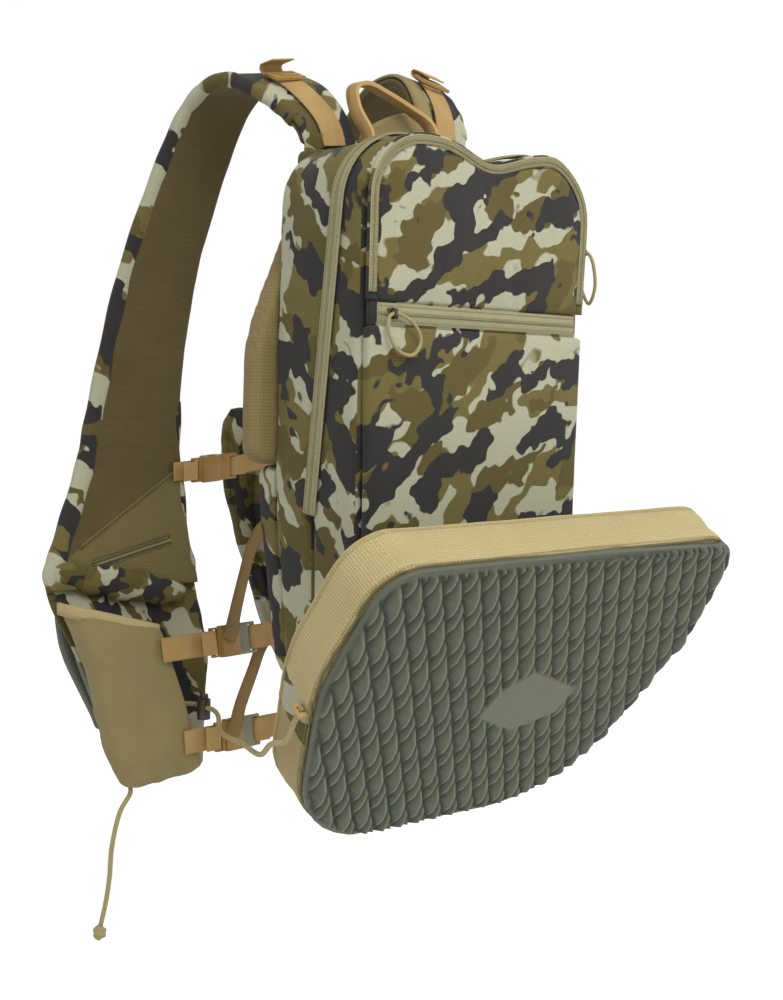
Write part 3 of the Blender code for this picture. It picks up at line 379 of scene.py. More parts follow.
# %% [markdown]
# The printed cloth is a plain woodland camouflage: rounded patches of moss, bark and near black on
# a pale sage ground, all lying on a slant. A patch is where a noise rises above a limit, and a second,
# finer noise bends the place that the first one reads, which gives the edges their lobes. The slant
# is the same on every piece. Pieces that bend round a corner carry an attribute, `run`, the distance
# along the cloth, so that the patches keep their size there.


# %% Printed cloth
SAGE, MOSS = srgb(190, 189, 161), srgb(118, 107, 58)
BARK, COAL = srgb(100, 89, 46), srgb(50, 49, 48)
SLANT = (math.cos(math.radians(35)), math.sin(math.radians(35)))


def cloud(tree, a, b, c, detail=1.0, rough=0.5):
    """Noise in cells of 1 at a place given by three sockets or numbers."""
    place = add(tree, "CombineXYZ", {0: a, 1: b, 2: c})[0]
    return add(tree, "TexNoise", {"Vector": place, "Scale": 1.0, "Detail": detail, "Roughness": rough})["Fac"]


def patches(tree, u, v, seed, size, limit):
    """A mask of lobed patches about as long as `size`, lying along u."""
    wander = [maths(tree, "SUBTRACT", cloud(tree, maths(tree, "DIVIDE", u, size * 0.34),
                                            maths(tree, "DIVIDE", v, size * 0.30), seed + k, 1.0), 0.5)
              for k in (31.0, 47.0)]
    x = maths(tree, "MULTIPLY_ADD", wander[0], 0.9, maths(tree, "DIVIDE", u, size))
    y = maths(tree, "MULTIPLY_ADD", wander[1], 0.9, maths(tree, "DIVIDE", v, size * 0.52))
    return between(tree, cloud(tree, x, y, seed, 1.0, 0.4), limit, limit + 0.012)


def printed_cloth(name, along_axis, seed, run=True):
    """Woodland camouflage on a fine twill, on a slant to one axis and to `run` or X."""
    look, tree, shader = finish(name, 0.86, sheen=0.08)
    axes = add(tree, "SeparateXYZ", {0: add(tree, "TexCoord")["Object"]})
    across = add(tree, "Attribute", attribute_name="run")["Fac"] if run else axes[0]
    along = axes[along_axis]
    u = maths(tree, "MULTIPLY_ADD", across, SLANT[0], maths(tree, "MULTIPLY", along, SLANT[1]))
    v = maths(tree, "MULTIPLY_ADD", along, SLANT[0], maths(tree, "MULTIPLY", across, -SLANT[1]))
    colour = tint(tree, patches(tree, u, v, seed, 0.082, 0.512), SAGE, MOSS)
    colour = tint(tree, patches(tree, u, v, seed + 6.0, 0.064, 0.560), colour, BARK)
    colour = tint(tree, patches(tree, u, v, seed + 13.0, 0.060, 0.530), colour, COAL)
    grain = add(tree, "TexNoise", {"Vector": spot(tree), "Scale": 700.0, "Detail": 2.0})["Fac"]
    colour = tint(tree, between(tree, grain, 0.3, 0.7, 0.0, 0.16), colour, (0.03, 0.027, 0.016, 1.0))
    tree.links.new(colour, shader.inputs["Base Color"])
    twill = add(tree, "TexWave", {"Vector": spot(tree, turn=(0.6, 0.6, 0.6)), "Scale": 260.0,
                                  "Distortion": 1.0, "Detail Scale": 2.0})["Fac"]
    crease = add(tree, "TexNoise", {"Vector": spot(tree, (1.0, 1.0, 0.55)), "Scale": 34.0,
                                    "Detail": 3.0})["Fac"]
    height = maths(tree, "ADD", maths(tree, "MULTIPLY", twill, 0.05), crease)
    relief(tree, shader, height, 0.0035, 0.55)
    return look


FRONT_PRINT = printed_cloth("printed_cloth_front", 2, 0.0, run=False)
SIDE_PRINT = printed_cloth("printed_cloth_side", 1, 4.0)
VEST_PRINT = printed_cloth("printed_cloth_vest", 0, 9.0)
print("printed cloths:", FRONT_PRINT.name, SIDE_PRINT.name, VEST_PRINT.name)

# %% [markdown]
# The plain cloths differ in their knit: an open spacer mesh on the seat and back, a dense brown knit
# inside the straps, a stretch cloth on the pouches and a smooth coated cloth on the inner pockets.


# %% Plain cloths
def plain_cloth(name, colour, shade, pitch, depth, rough=0.88, turn=(0.0, 0.0, 0.0), hole_shade=0.45):
    """A knit or mesh: a dot lattice dents a colour that varies a little, and its pits are painted darker as shade.
    """
    look, tree, shader = finish(name, rough, sheen=0.10)
    place = spot(tree, turn=turn)
    dots = lattice(tree, place, pitch)
    cloud = add(tree, "TexNoise", {"Vector": place, "Scale": 26.0, "Detail": 4.0})["Fac"]
    body = tint(tree, between(tree, cloud, 0.3, 0.75, 0.0, 0.35), colour, shade)
    fibre = add(tree, "TexNoise", {"Vector": place, "Scale": 900.0, "Detail": 1.0})["Fac"]
    body = tint(tree, between(tree, fibre, 0.35, 0.7, 0.0, 0.22), body, shade)
    # Painted shade: the pits of the lattice are darkened towards a deep copy of the shade colour.
    pit_shade = between(tree, dots, 0.15, 0.75, 0.0, hole_shade)
    pit_shade_colour = tuple(c * 0.42 for c in shade[:3]) + (1.0,)
    tree.links.new(tint(tree, pit_shade, body, pit_shade_colour), shader.inputs["Base Color"])
    fold = add(tree, "TexNoise", {"Vector": place, "Scale": 30.0, "Detail": 3.0})["Fac"]
    height = maths(tree, "SUBTRACT", maths(tree, "MULTIPLY", fold, 2.0), maths(tree, "MULTIPLY", dots, 0.35))
    relief(tree, shader, height, depth, 0.6)
    return look


SEAT_LEAN = math.radians(35.0)
PAD_MESH = plain_cloth("khaki_pad_mesh", srgb(150, 133, 86), srgb(122, 106, 66), 0.0030, 0.0012, hole_shade=0.28)
KNIT = plain_cloth("brown_knit", srgb(104, 91, 55), srgb(78, 66, 37), 0.0016, 0.0008, hole_shade=0.20)
STRETCH = plain_cloth("tan_stretch_cloth", srgb(160, 144, 98), srgb(136, 121, 78), 0.0013, 0.0014, hole_shade=0.09)
COATED = plain_cloth("brown_coated_cloth", srgb(134, 121, 71), srgb(112, 100, 57), 0.0009, 0.0030,
                     rough=0.62, hole_shade=0.08)
BINDING = plain_cloth("pale_binding", srgb(198, 180, 130), srgb(172, 153, 106), 0.0016, 0.0006, hole_shade=0.2)


def spacer_mesh(name, colour, shade, pitch, depth):
    """An open mesh whose rows follow a band: `around` and `through` are distances along and across it."""
    look, tree, shader = finish(name, 0.88, sheen=0.10)
    waves = []
    for word, size in (("around", pitch), ("through", pitch * 0.9)):
        turn = maths(tree, "MULTIPLY", add(tree, "Attribute", attribute_name=word)["Fac"], 2 * math.pi / size)
        waves.append(maths(tree, "SINE", turn))
    dots = maths(tree, "MULTIPLY", waves[0], waves[1])
    shift = add(tree, "TexNoise", {"Vector": spot(tree), "Scale": 22.0, "Detail": 4.0})["Fac"]
    body = tint(tree, between(tree, shift, 0.3, 0.75, 0.0, 0.45), colour, shade)
    fibre = add(tree, "TexNoise", {"Vector": spot(tree), "Scale": 1100.0, "Detail": 1.0})["Fac"]
    body = tint(tree, between(tree, fibre, 0.35, 0.7, 0.0, 0.20), body, shade)
    # Painted shade: the holes of the open mesh, sunk by the bump, are darkened towards a deep copy of the shade
    # colour.
    pit_shade = between(tree, maths(tree, "ABSOLUTE", dots), 0.35, 0.9, 0.0, 0.42)
    pit_shade_colour = tuple(c * 0.5 for c in shade[:3]) + (1.0,)
    tree.links.new(tint(tree, pit_shade, body, pit_shade_colour), shader.inputs["Base Color"])
    fold_in = add(tree, "TexNoise", {"Vector": spot(tree), "Scale": 24.0, "Detail": 3.0})["Fac"]
    height = maths(tree, "SUBTRACT", maths(tree, "MULTIPLY", fold_in, 2.4), maths(tree, "ABSOLUTE", dots))
    relief(tree, shader, height, depth, 0.6)
    return look


SEAT_MESH = spacer_mesh("tan_spacer_mesh", srgb(212, 195, 142), srgb(188, 170, 117), 0.0056, 0.0010)
print("plain cloths ready")

# %% [markdown]
# Webbing, tape and cord read the `along` and `across` that the sweep left on them: ribs every
# millimetre across the strip, and a firmer line near each selvedge. Cord gets a braid, which is two
# waves that run round it opposite ways.


# %% Webbing, tape and cord
def woven(name, colour, shade, rib, width, rough=0.75):
    """A ribbed weave on a strip of a known width."""
    look, tree, shader = finish(name, rough, sheen=0.05)
    along = add(tree, "Attribute", attribute_name="along")["Fac"]
    across = add(tree, "Attribute", attribute_name="across")["Fac"]
    ribs = maths(tree, "SINE", maths(tree, "MULTIPLY", along, 2 * math.pi / rib))
    cross = maths(tree, "SINE", maths(tree, "MULTIPLY", across, 2 * math.pi / (rib * 1.6)))
    weave = maths(tree, "MULTIPLY", ribs, cross)
    edge = between(tree, maths(tree, "ABSOLUTE", across), width / 2 - 0.0022, width / 2 - 0.0012)
    cloud = add(tree, "TexNoise", {"Vector": spot(tree), "Scale": 45.0, "Detail": 4.0})["Fac"]
    body = tint(tree, between(tree, cloud, 0.3, 0.75, 0.0, 0.5), colour, shade)
    body = tint(tree, between(tree, weave, -0.2, 1.0, 0.0, 0.30), body, shade)
    tree.links.new(tint(tree, maths(tree, "MULTIPLY", edge, 0.35), body, shade), shader.inputs["Base Color"])
    relief(tree, shader, maths(tree, "ADD", weave, edge), 0.0004, 0.8)
    return look


def braided(name, colour, shade, radius):
    """A braided cord; the grooves between its strands are painted darker as shade."""
    look, tree, shader = finish(name, 0.7, sheen=0.05)
    along = add(tree, "Attribute", attribute_name="along")["Fac"]
    turn = add(tree, "Attribute", attribute_name="turn")["Fac"]
    strands = []
    for sign in (1.0, -1.0):
        phase = maths(tree, "ADD", maths(tree, "MULTIPLY", along, 2 * math.pi / (radius * 1.5)),
                      maths(tree, "MULTIPLY", turn, sign * 6.0))
        strands.append(maths(tree, "SINE", phase))
    braid = maths(tree, "MAXIMUM", strands[0], strands[1])
    # Painted shade: where the braid is low, in the grooves, the cord takes the darker colour.
    tree.links.new(tint(tree, between(tree, braid, -0.6, 0.9), shade, colour), shader.inputs["Base Color"])
    relief(tree, shader, braid, 0.0004, 0.8)
    return look


WEB_TAN = woven("tan_webbing", srgb(212, 175, 113), srgb(182, 146, 89), 0.0012, 0.025)
WEB_BROWN = woven("brown_webbing", srgb(164, 134, 84), srgb(136, 108, 64), 0.0012, 0.018)
TAPE = woven("zip_tape", srgb(192, 186, 146), srgb(170, 163, 124), 0.0010, 0.018, 0.8)
CORD = braided("pale_cord", srgb(196, 182, 132), srgb(158, 143, 94), 0.0025)
print("strips ready")

# %% [markdown]
# The hard pieces are moulded: satin plastic on the buckles, a matt closed-cell foam under the seat,
# dark coated metal on the zips. Fine noise breaks up the colour and the gloss.


# %% Plastic, foam and metal
def moulded(name, colour, shade, rough, metal=0.0, pebble=0.00012, size=700.0):
    """A moulded or coated surface with a fine pebble."""
    look, tree, shader = finish(name, rough, metal)
    shader.inputs["Specular IOR Level"].default_value = 0.45
    cloud = add(tree, "TexNoise", {"Vector": spot(tree), "Scale": 40.0, "Detail": 5.0})["Fac"]
    grain = add(tree, "TexNoise", {"Vector": spot(tree), "Scale": size, "Detail": 2.0})["Fac"]
    body = tint(tree, between(tree, cloud, 0.3, 0.7), colour, shade)
    tree.links.new(body, shader.inputs["Base Color"])
    tree.links.new(between(tree, grain, 0.3, 0.7, rough - 0.08, rough + 0.08), shader.inputs["Roughness"])
    relief(tree, shader, grain, pebble, 0.5)
    return look


BUCKLE = moulded("mustard_buckle", srgb(172, 136, 72), srgb(150, 116, 58), 0.48)
GREY_CLIP = moulded("grey_green_clip", srgb(150, 146, 122), srgb(128, 124, 100), 0.5)
DARK = moulded("dark_brown_plastic", srgb(62, 48, 34), srgb(48, 38, 28), 0.42)
FOAM = moulded("grey_green_foam", srgb(101, 105, 92), srgb(90, 94, 82), 0.66, pebble=0.0004, size=420.0)
METAL = moulded("dark_coated_metal", srgb(96, 90, 74), srgb(74, 70, 58), 0.36, 0.8)
STEEL = moulded("spring_steel", srgb(178, 178, 178), srgb(150, 150, 150), 0.3, 1.0)
SHEET = moulded("stiffener_sheet", srgb(62, 62, 62), srgb(54, 54, 54), 0.6)
print("hard finishes ready")

# %% [markdown]
# ## Cords
# The cords come first, because their routes are fixed in the CAD. The seat cord leaves the left
# pouch, runs through its lock and hangs in a shallow bow to a tab on the side of the seat. The other
# hangs straight down from the pouch and ends in a knot. Both are tubes with a braid.


# %% Seat cord and hanging cord
def cord_piece(name, line, radius, closed=False, sides=12):
    """A braided tube; `turn` holds the angle round the cord for the braid."""
    bm = swept(round_section(radius, sides), line, Vector((0.3, 0.2, 1.0)), closed)
    turn = bm.verts.layers.float.new("turn")
    bm.verts.ensure_lookup_table()
    for k, v in enumerate(bm.verts):
        v[turn] = math.pi * abs(((k % sides) / sides) * 2 - 1)
    return link(name, bm, CORD)


CORD_RADIUS = 0.0025
seat_cord_line = curve_through((
    (-0.0786, 0.198, -0.38), (-0.073, 0.198, -0.38), (-0.066, 0.19, -0.38), (-0.066, 0.182, -0.38),
    (-0.066, 0.175, -0.38), (-0.066, 0.169, -0.38), (-0.066, 0.162, -0.38), (-0.066, 0.156, -0.38),
    (-0.07, 0.14, -0.383), (-0.086, 0.11, -0.393), (-0.13, 0.01, -0.38), (-0.176, -0.08, -0.366),
    (-0.2153, -0.1496, -0.3387), (-0.2143, -0.1676, -0.3327), (-0.2123, -0.1767, -0.3155),
    (-0.2123, -0.1802, -0.3106), (-0.2123, -0.1836, -0.3057), (-0.2123, -0.1856, -0.3028)), 8)
seat_cord = cord_piece("seat_cord_braid", seat_cord_line, CORD_RADIUS)
seat_cord_length = sum((b - a).length for a, b in zip(seat_cord_line, seat_cord_line[1:]))
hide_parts("seat_cord")
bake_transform(seat_cord)
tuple(seat_cord_line[0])

hanging_line = curve_through((
    (-0.14, 0.1912, -0.4582), (-0.1412, 0.1912, -0.465), (-0.153, 0.1905, -0.482), (-0.162, 0.189, -0.514),
    (-0.165, 0.188, -0.545), (-0.169, 0.188, -0.57), (-0.1745, 0.188, -0.592)), 8)
hanging_cord = cord_piece("pouch_cord_braid", hanging_line, CORD_RADIUS)
bm = bmesh.new()
bmesh.ops.create_uvsphere(bm, u_segments=28, v_segments=20, radius=0.0066)
bmesh.ops.scale(bm, verts=bm.verts, vec=(1.0, 1.0, 1.12))
for v in bm.verts:
    ring_turn = math.atan2(v.co.y, v.co.x)
    v.co *= 1.0 + 0.10 * math.sin(2 * ring_turn + 900.0 * v.co.z)
bmesh.ops.translate(bm, verts=bm.verts, vec=(-0.1753, 0.188, -0.5986))
knot = link("pouch_cord_knot_tied", bm, CORD)
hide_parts("pouch_cord_knot")
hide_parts("pouch_cord")
for piece in (knot, hanging_cord):
    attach(piece, "pack")
hanging_length = sum((b - a).length for a, b in zip(hanging_line, hanging_line[1:]))
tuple(hanging_line[0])
print("cords", round(seat_cord_length, 3), round(hanging_length, 3), "m")

# %% [markdown]
# ## Bags, pads and pockets
# A stuffed bag is a closed skin with air behind it. Each starts as a copy of its CAD solid, is
# remeshed into even cells, and is swollen by the Cloth solver with pressure and no gravity. Its
# seams are pinned, as zips and piping hold them on a real bag, so that the panels belly out between
# them. All the bags swell in one run. A cap on how far a point may move, and a box it may not leave,
# keep the skins clear of their neighbours.

# %% Copy the solids into even skins
skins = {}
THROUGH_SEAT = Matrix.Rotation(SEAT_LEAN, 3, "X") @ Vector((0.0, 1.0, 0.0))


def surface_of(mesh):
    """A search tree over a mesh, for the nearest place on it."""
    return BVHTree.FromPolygons([v.co for v in mesh.vertices], [p.vertices for p in mesh.polygons])


def refill(item, node):
    """Move skin that lies more than a millimetre inside its solid back out towards it."""
    solid = surface_of(nodes[node].data)
    for v in item.data.vertices:
        near, facing, _, gap = solid.find_nearest(v.co)
        if gap > 0.0010 and (v.co - near).dot(facing) < 0.0:
            v.co = v.co.lerp(near, 1.0 - 0.0010 / gap)


def skin_of(node, voxel, grow, cap):
    """A remeshed copy of a solid, its seams pinned, with the room it may take at each side of its box."""
    bm = bmesh.new()
    bm.from_mesh(nodes[node].data)
    bmesh.ops.remove_doubles(bm, verts=bm.verts, dist=1e-5)
    item = link(node + "_skin", bm, [])
    cells = item.modifiers.new("even_cells", "REMESH")
    cells.mode = "VOXEL"
    cells.voxel_size = voxel
    bpy.context.view_layer.update()
    made = bpy.data.meshes.new_from_object(item.evaluated_get(bpy.context.evaluated_depsgraph_get()))
    item.modifiers.clear()
    item.data = made
    facing = THROUGH_SEAT if node == "seat_cushion" else Vector((0.0, 1.0, 0.0))
    refill(item, node)
    seams = item.vertex_groups.new(name="seams")
    seams.add([v.index for v in made.vertices if 0.30 < abs(v.normal.dot(facing)) < 0.96], 1.0, "REPLACE")
    low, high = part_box(node)
    unswollen = [v.co.copy() for v in made.vertices]
    skins[node] = (item, unswollen, low - Vector(grow[0]), high + Vector(grow[1]), cap)
    return item


skin_of("main_bag", 0.0050, ((0.003, 0.0, 0.002), (0.003, 0.0, 0.002)), 0.005)
skin_of("front_bag", 0.0050, ((0.003, 0.0, 0.002), (0.003, 0.0, 0.002)), 0.005)
skin_of("upper_pocket", 0.0040, ((0.001, 0.004, 0.0), (0.001, 0.0, 0.001)), 0.005)
skin_of("lower_pocket", 0.0040, ((0.001, 0.004, 0.0), (0.001, 0.0, 0.0)), 0.005)
skin_of("back_pad", 0.0050, ((0.002, 0.0, 0.0), (0.002, 0.001, 0.002)), 0.005)
skin_of("lumbar_pad", 0.0050, ((0.002, 0.0, 0.002), (0.002, 0.001, 0.0)), 0.005)
skin_of("seat_cushion", 0.0050, ((0.004, 0.004, 0.004), (0.004, 0.004, 0.004)), 0.006)
print("skins:", {name: len(row[1]) for name, row in skins.items()})

# %% Swell them with the cloth solver
for item, *_ in skins.values():
    cloth = item.modifiers.new("swell", "CLOTH")
    cloth.settings.quality = 5
    cloth.settings.use_pressure = True
    cloth.settings.uniform_pressure_force = 4.0
    cloth.settings.tension_stiffness = 12.0
    cloth.settings.compression_stiffness = 12.0
    cloth.settings.bending_stiffness = 0.3
    cloth.settings.effector_weights.gravity = 0.0
    cloth.settings.vertex_group_mass = "seams"
    cloth.point_cache.frame_end = 20
for step in range(1, 21):
    scene.frame_set(step)
swollen = bpy.context.evaluated_depsgraph_get()
for item, rest, low, high, cap in skins.values():
    moved = [v.co.copy() for v in item.evaluated_get(swollen).data.vertices]
    item.modifiers.clear()
    for v, a, b in zip(item.data.vertices, rest, moved):
        step_out = b - a
        if step_out.length > cap:
            step_out *= cap / step_out.length
        place = a + step_out
        v.co = [min(max(c, lo), hi) for c, lo, hi in zip(place, low, high)]
    item.data.update()
scene.frame_set(1)
print("swollen")

# %% [markdown]
# A full bag is never flat on top. Its front edge slumps between two humps, where the load hangs
# from the corners. One function gives that drop for any point, so that the bags, the pocket and the
# zips that run over them all slump together. A second one gives the small folds of the cloth.


# %% Slump, folds and how a bag gets dressed
def smooth_step(low, high, value):
    t = min(max((value - low) / (high - low), 0.0), 1.0)
    return t * t * (3 - 2 * t)


def slumped(place):
    """A point of the bag after its top has slumped."""
    x, y, z = place
    front = 0.25 + 0.75 * smooth_step(-0.05, -0.14, y)
    dip = 0.0125 * math.exp(-((x - 0.014) / 0.036) ** 2) - 0.0030 * math.exp(-((x + 0.058) / 0.034) ** 2)
    dip -= 0.0020 * math.exp(-((x - 0.090) / 0.030) ** 2)
    drop = dip * front * smooth_step(0.070, 0.160, z)
    side = 0.0030 * math.exp(-((z - 0.105) / 0.045) ** 2) * smooth_step(0.10, 0.12, x)
    top_front = smooth_step(0.05, 0.15, z) * smooth_step(-0.10, -0.14, y)
    lean = 0.006 * math.exp(-((x - 0.014) / 0.050) ** 2) * top_front
    return Vector((x + side, y + lean, z - drop))


def fold(place, size, stretch=(1.0, 1.0, 1.0), seed=0.0):
    """Soft noise from -1 to 1 that makes the folds of cloth."""
    p = Vector([c * s / size + seed for c, s in zip(place, stretch)])
    return noise.noise(p) * 0.7 + noise.noise(p * 2.3) * 0.3


def carry(piece, body, slot_name, *replaced):
    """Ride on a body and stand for CAD nodes, which are hidden; the slot name is not used."""
    for node in replaced:
        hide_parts(node)
    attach(piece, body)
    return piece


def cloth_run(bm, measure):
    """Store on each vertex how far along its cloth it lies."""
    run = bm.verts.layers.float.new("run")
    for v in bm.verts:
        v[run] = measure(v.co)


def gusset_run(place):
    """Distance along the gusset: up the left side, over the rounded corners and down the right side."""
    half, top, radius = 0.1305, 0.164, 0.056
    wide, high = abs(place.x) - (half - radius), place.z - (top - radius)
    quarter = radius * math.pi / 2
    if high < 0.0:
        run = high
    elif wide > 0.0:
        run = radius * math.atan2(high, wide)
    else:
        run = quarter - wide
    return run if place.x < 0.0 else 2 * (quarter + half - radius) - run


def dress_skin(node, looks, pick, slot_name, body, shape):
    """Shape a skin, give each face its cloth, and add one subdivision."""
    item = skins[node][0]
    bm = bmesh.new()
    bm.from_mesh(item.data)
    bm.normal_update()
    normals = [v.normal.copy() for v in bm.verts]
    for v, normal in zip(bm.verts, normals):
        v.co = shape(v.co, normal)
    bmesh.ops.smooth_vert(bm, verts=bm.verts, factor=0.3, use_axis_x=True, use_axis_y=True, use_axis_z=True)
    bm.normal_update()
    cloth_run(bm, gusset_run)
    for face in bm.faces:
        face.material_index = pick(face.calc_center_median(), face.normal)
        face.smooth = True
    bm.to_mesh(item.data)
    bm.free()
    for look in looks:
        item.data.materials.append(look)
    finer = item.modifiers.new("finer", "SUBSURF")
    finer.levels = finer.render_levels = 1
    carry(item, body, slot_name, node)
    return item


print("slump at the middle of the top edge:", round(0.160 - slumped((0.014, -0.146, 0.160)).z, 4))

# %% [markdown]
# The bags wear the print. The gusset that goes round the sides and over the top is cut across the
# cloth and the front panels along it, so a face picks its print by the way it looks. Folds are
# deeper low on the sides, where the bag is empty, and fade where the zips hold the cloth. The lower
# pocket stays flat where the folded seat lies against it.


# %% Dress the bags and the pockets
def seam_depth(height):
    """Depth of the leaning joint between the two bags at a height."""
    return -0.0854 - 0.111 * (height + 0.160)


def bag_folds(place, normal):
    depth = 0.0024 * fold(place, 0.045, (0.6, 1.0, 1.3)) + 0.0020 * fold(place, 0.11, seed=3.0)
    held = smooth_step(0.006, 0.024, abs(place.y - seam_depth(place.z)))
    if place.y < -0.10:
        held *= smooth_step(-0.26, -0.18, place.z)
    return slumped(place + normal * depth * held)


POCKET_FACE = -0.157


def pocket_folds(place, normal):
    depth = 0.0020 * fold(place, 0.040, (1.4, 1.0, 0.6)) + 0.0022 * fold(place, 0.10, (1.2, 1.0, 0.5), 5.0)
    edge = smooth_step(0.0, 1.0, min(0.121 - abs(place.x), abs(place.z - 0.013) - 0.009, 0.020) / 0.020)
    puff = 0.0015 * edge if normal.y < -0.5 else 0.0
    shaped = slumped(place + normal * depth * (0.3 + 0.7 * edge) + Vector((0.0, -puff, 0.0)))
    proud = POCKET_FACE - shaped.y
    if proud > 0.0:
        room = 0.0006 + 0.0040 * smooth_step(-0.13, -0.05, place.z)
        shaped.y = POCKET_FACE - room * math.tanh(proud / room)
    return shaped


def front_or_gusset(place, normal):
    return 0 if normal.y < -0.62 else 1


dress_skin("main_bag", [FRONT_PRINT, SIDE_PRINT], front_or_gusset, "camo_cloth", "pack", bag_folds)
dress_skin("front_bag", [FRONT_PRINT, SIDE_PRINT], front_or_gusset, "camo_cloth", "pack", bag_folds)
dress_skin("upper_pocket", [FRONT_PRINT], lambda p, n: 0, "camo_cloth", "pack", pocket_folds)
dress_skin("lower_pocket", [FRONT_PRINT], lambda p, n: 0, "camo_cloth", "pack", pocket_folds)
print("bags and pockets dressed")

# %% [markdown]
# The back pad and the lumbar pad touch the wearer. They are foam under mesh, quilted into channels
# that let air rise: a row of grooves pressed into the wearer's face.


# %% Dress the pads
def quilted(place, normal):
    groove = 0.0
    if normal.y > 0.5:
        for x in (-0.075, -0.025, 0.025, 0.075):
            groove += 0.0035 * math.exp(-((place.x - x) / 0.004) ** 2)
    return place + normal * (0.0008 * fold(place, 0.03)) - Vector((0.0, groove, 0.0))


def pad_cloth(place, normal):
    return 1 if place.z < -0.11 and normal.y < 0.6 else 0


dress_skin("back_pad", [PAD_MESH], lambda p, n: 0, "tan_mesh", "pack", quilted)
dress_skin("lumbar_pad", [PAD_MESH, SIDE_PRINT], pad_cloth, "camo_cloth", "pack", quilted)
print("pads dressed")

# %% [markdown]
# ## Zips
# Each zip is a woven tape with a coil sewn along its middle. The tape is a strip swept along the
# zip's line and the coil is a thin tube whose radius swells with each turn of the spiral, which
# reads as teeth. The lines over the bag go through the same slump as the bag. A printed facing lies
# under each pocket's zip, so that no gap shows beside its tape.


# %% Make a zip
def rounded_arch(half, bottom, top, radius, depth, steps=10):
    """A line up one side, over the top and down the other, in the X-Z plane."""
    line = [Vector((-half, depth, bottom))]
    for side in (-1, 1):
        centre = Vector((side * (half - radius), depth, top - radius))
        for k in range(steps + 1):
            turn = math.pi * (1 - 0.5 * k / steps) if side < 0 else math.pi * (0.5 - 0.5 * k / steps)
            line.append(centre + Vector((math.cos(turn), 0.0, math.sin(turn))) * radius)
    line.append(Vector((half, depth, bottom)))
    return line


def zip_piece(name, line, ups, width, thick, node, rise=0.0008, body="pack", tape=None):
    """A tape along a line, with its coil on top."""
    bm = swept(strip_section(width, thick), line, ups)
    strip = link(name + "_tape", bm, tape or TAPE)
    if node:
        carry(strip, body, "zip_tape", node)
    else:
        carry(strip, body, "zip_tape")
    stations = frames_along(line, ups)
    raised = [p + f[1] * (thick / 2 + rise * 0.4) for p, f in zip(line, stations)]
    fine = even(raised, 0.0009)
    finer_ups = [min(zip(raised, stations), key=lambda row: (row[0] - p).length_squared)[1][1] for p in fine]
    bm = swept([(-0.0016, 0.0), (-0.0009, 0.0009), (0.0009, 0.0009), (0.0016, 0.0), (0.0, -0.0006)], fine,
               finer_ups, swell=lambda i: 1.0 if i % 2 else 0.72)
    coil = carry(link(name + "_coil", bm, TEETH, smooth=False), body, "zip_tape")
    for sign in (-1, 1):
        seam = [p + f[1] * (thick / 2 + 0.0002) + f[2] * (sign * width * 0.36)
                for p, f in zip(line, stations)]
        stitch(name + ("_stitch_a" if sign < 0 else "_stitch_b"), seam, 0.0030, THREAD, body, "zip_tape")
    return strip, coil


THREAD = woven("sewing_thread", srgb(174, 164, 122), srgb(152, 142, 102), 0.0006, 0.002)
DARK_THREAD = woven("brown_thread", srgb(70, 58, 36), srgb(52, 42, 26), 0.0006, 0.002)
TEETH = woven("zip_coil", srgb(164, 156, 114), srgb(126, 118, 82), 0.0018, 0.004, 0.5)


def stitch(name, line, pitch, look, body, slot_name, thick=0.0007):
    """A row of thread dashes on a line."""
    marks = even(line, pitch)
    bm = bmesh.new()
    for a, b in zip(marks, marks[1:]):
        along = (b - a).normalized()
        turn = along.to_track_quat("X", "Z").to_matrix().to_4x4()
        size = Matrix.Diagonal((pitch * 0.62, thick, thick, 1.0))
        bmesh.ops.create_cube(bm, size=1.0, matrix=Matrix.Translation((a + b) / 2) @ turn @ size)
    return carry(link(name, bm, look), body, slot_name)


main_arch = even(rounded_arch(0.1316, -0.160, 0.1651, 0.056, 0.0), 0.004)
main_arch = [slumped(Vector((p.x, seam_depth(p.z), p.z))) for p in main_arch]
outward = [Vector((p.x, 0.0, p.z - 0.105 if p.z > 0.105 else 0.0)).normalized() for p in main_arch]
main_line = [p + u * 0.0012 for p, u in zip(main_arch, outward)]
zip_piece("main_zip", main_line, outward, 0.017, 0.0014, "main_zip_tape")

def arch_run(foot):
    """The arched zip's line up to its top and down again, from the height of its feet."""
    return [slumped(p) for p in even(rounded_arch(0.1248, foot, 0.1582, 0.0497, -0.1555), 0.004)]


FORWARD = Vector((0.0, -1.0, 0.0))
arch_line = arch_run(0.0300)
zip_piece("arch_zip", arch_line, [FORWARD] * len(arch_line), 0.0084, 0.0016, "arch_zip_tape")
behind = [p + Vector((-0.0008 if p.x > 0.0 else 0.0008, 0.0022, 0.0)) for p in arch_run(0.0235)]
bm = swept(strip_section(0.0118, 0.0030), behind, FORWARD)
carry(link("arch_zip_facing", bm, FRONT_PRINT), "pack", "camo_cloth")

slash_line = [Vector((-0.1185 + 0.2370 * k / 40, -0.1545, 0.013)) for k in range(41)]
zip_piece("slash_zip", slash_line, FORWARD, 0.0175, 0.0020, "slash_zip_tape")
behind = [Vector((-0.1262 + 0.2485 * k / 40, -0.1515, 0.013)) for k in range(41)]
bm = swept(strip_section(0.0210, 0.0040), behind, FORWARD)
carry(link("slash_zip_facing", bm, FRONT_PRINT), "pack", "camo_cloth")
print("zips made; arch of", len(arch_line), "stations")

# %% [markdown]
# ## Straps and vest halves
# A strap runs from the yoke over the shoulder and down the chest, where it widens into a vest panel.
# Its line in the CAD is a table of depth, height, outer edge, inner edge and how far the outer edge
# droops. The same table gives the two edges here, and how far along the strap any point lies, which
# is what the print needs.

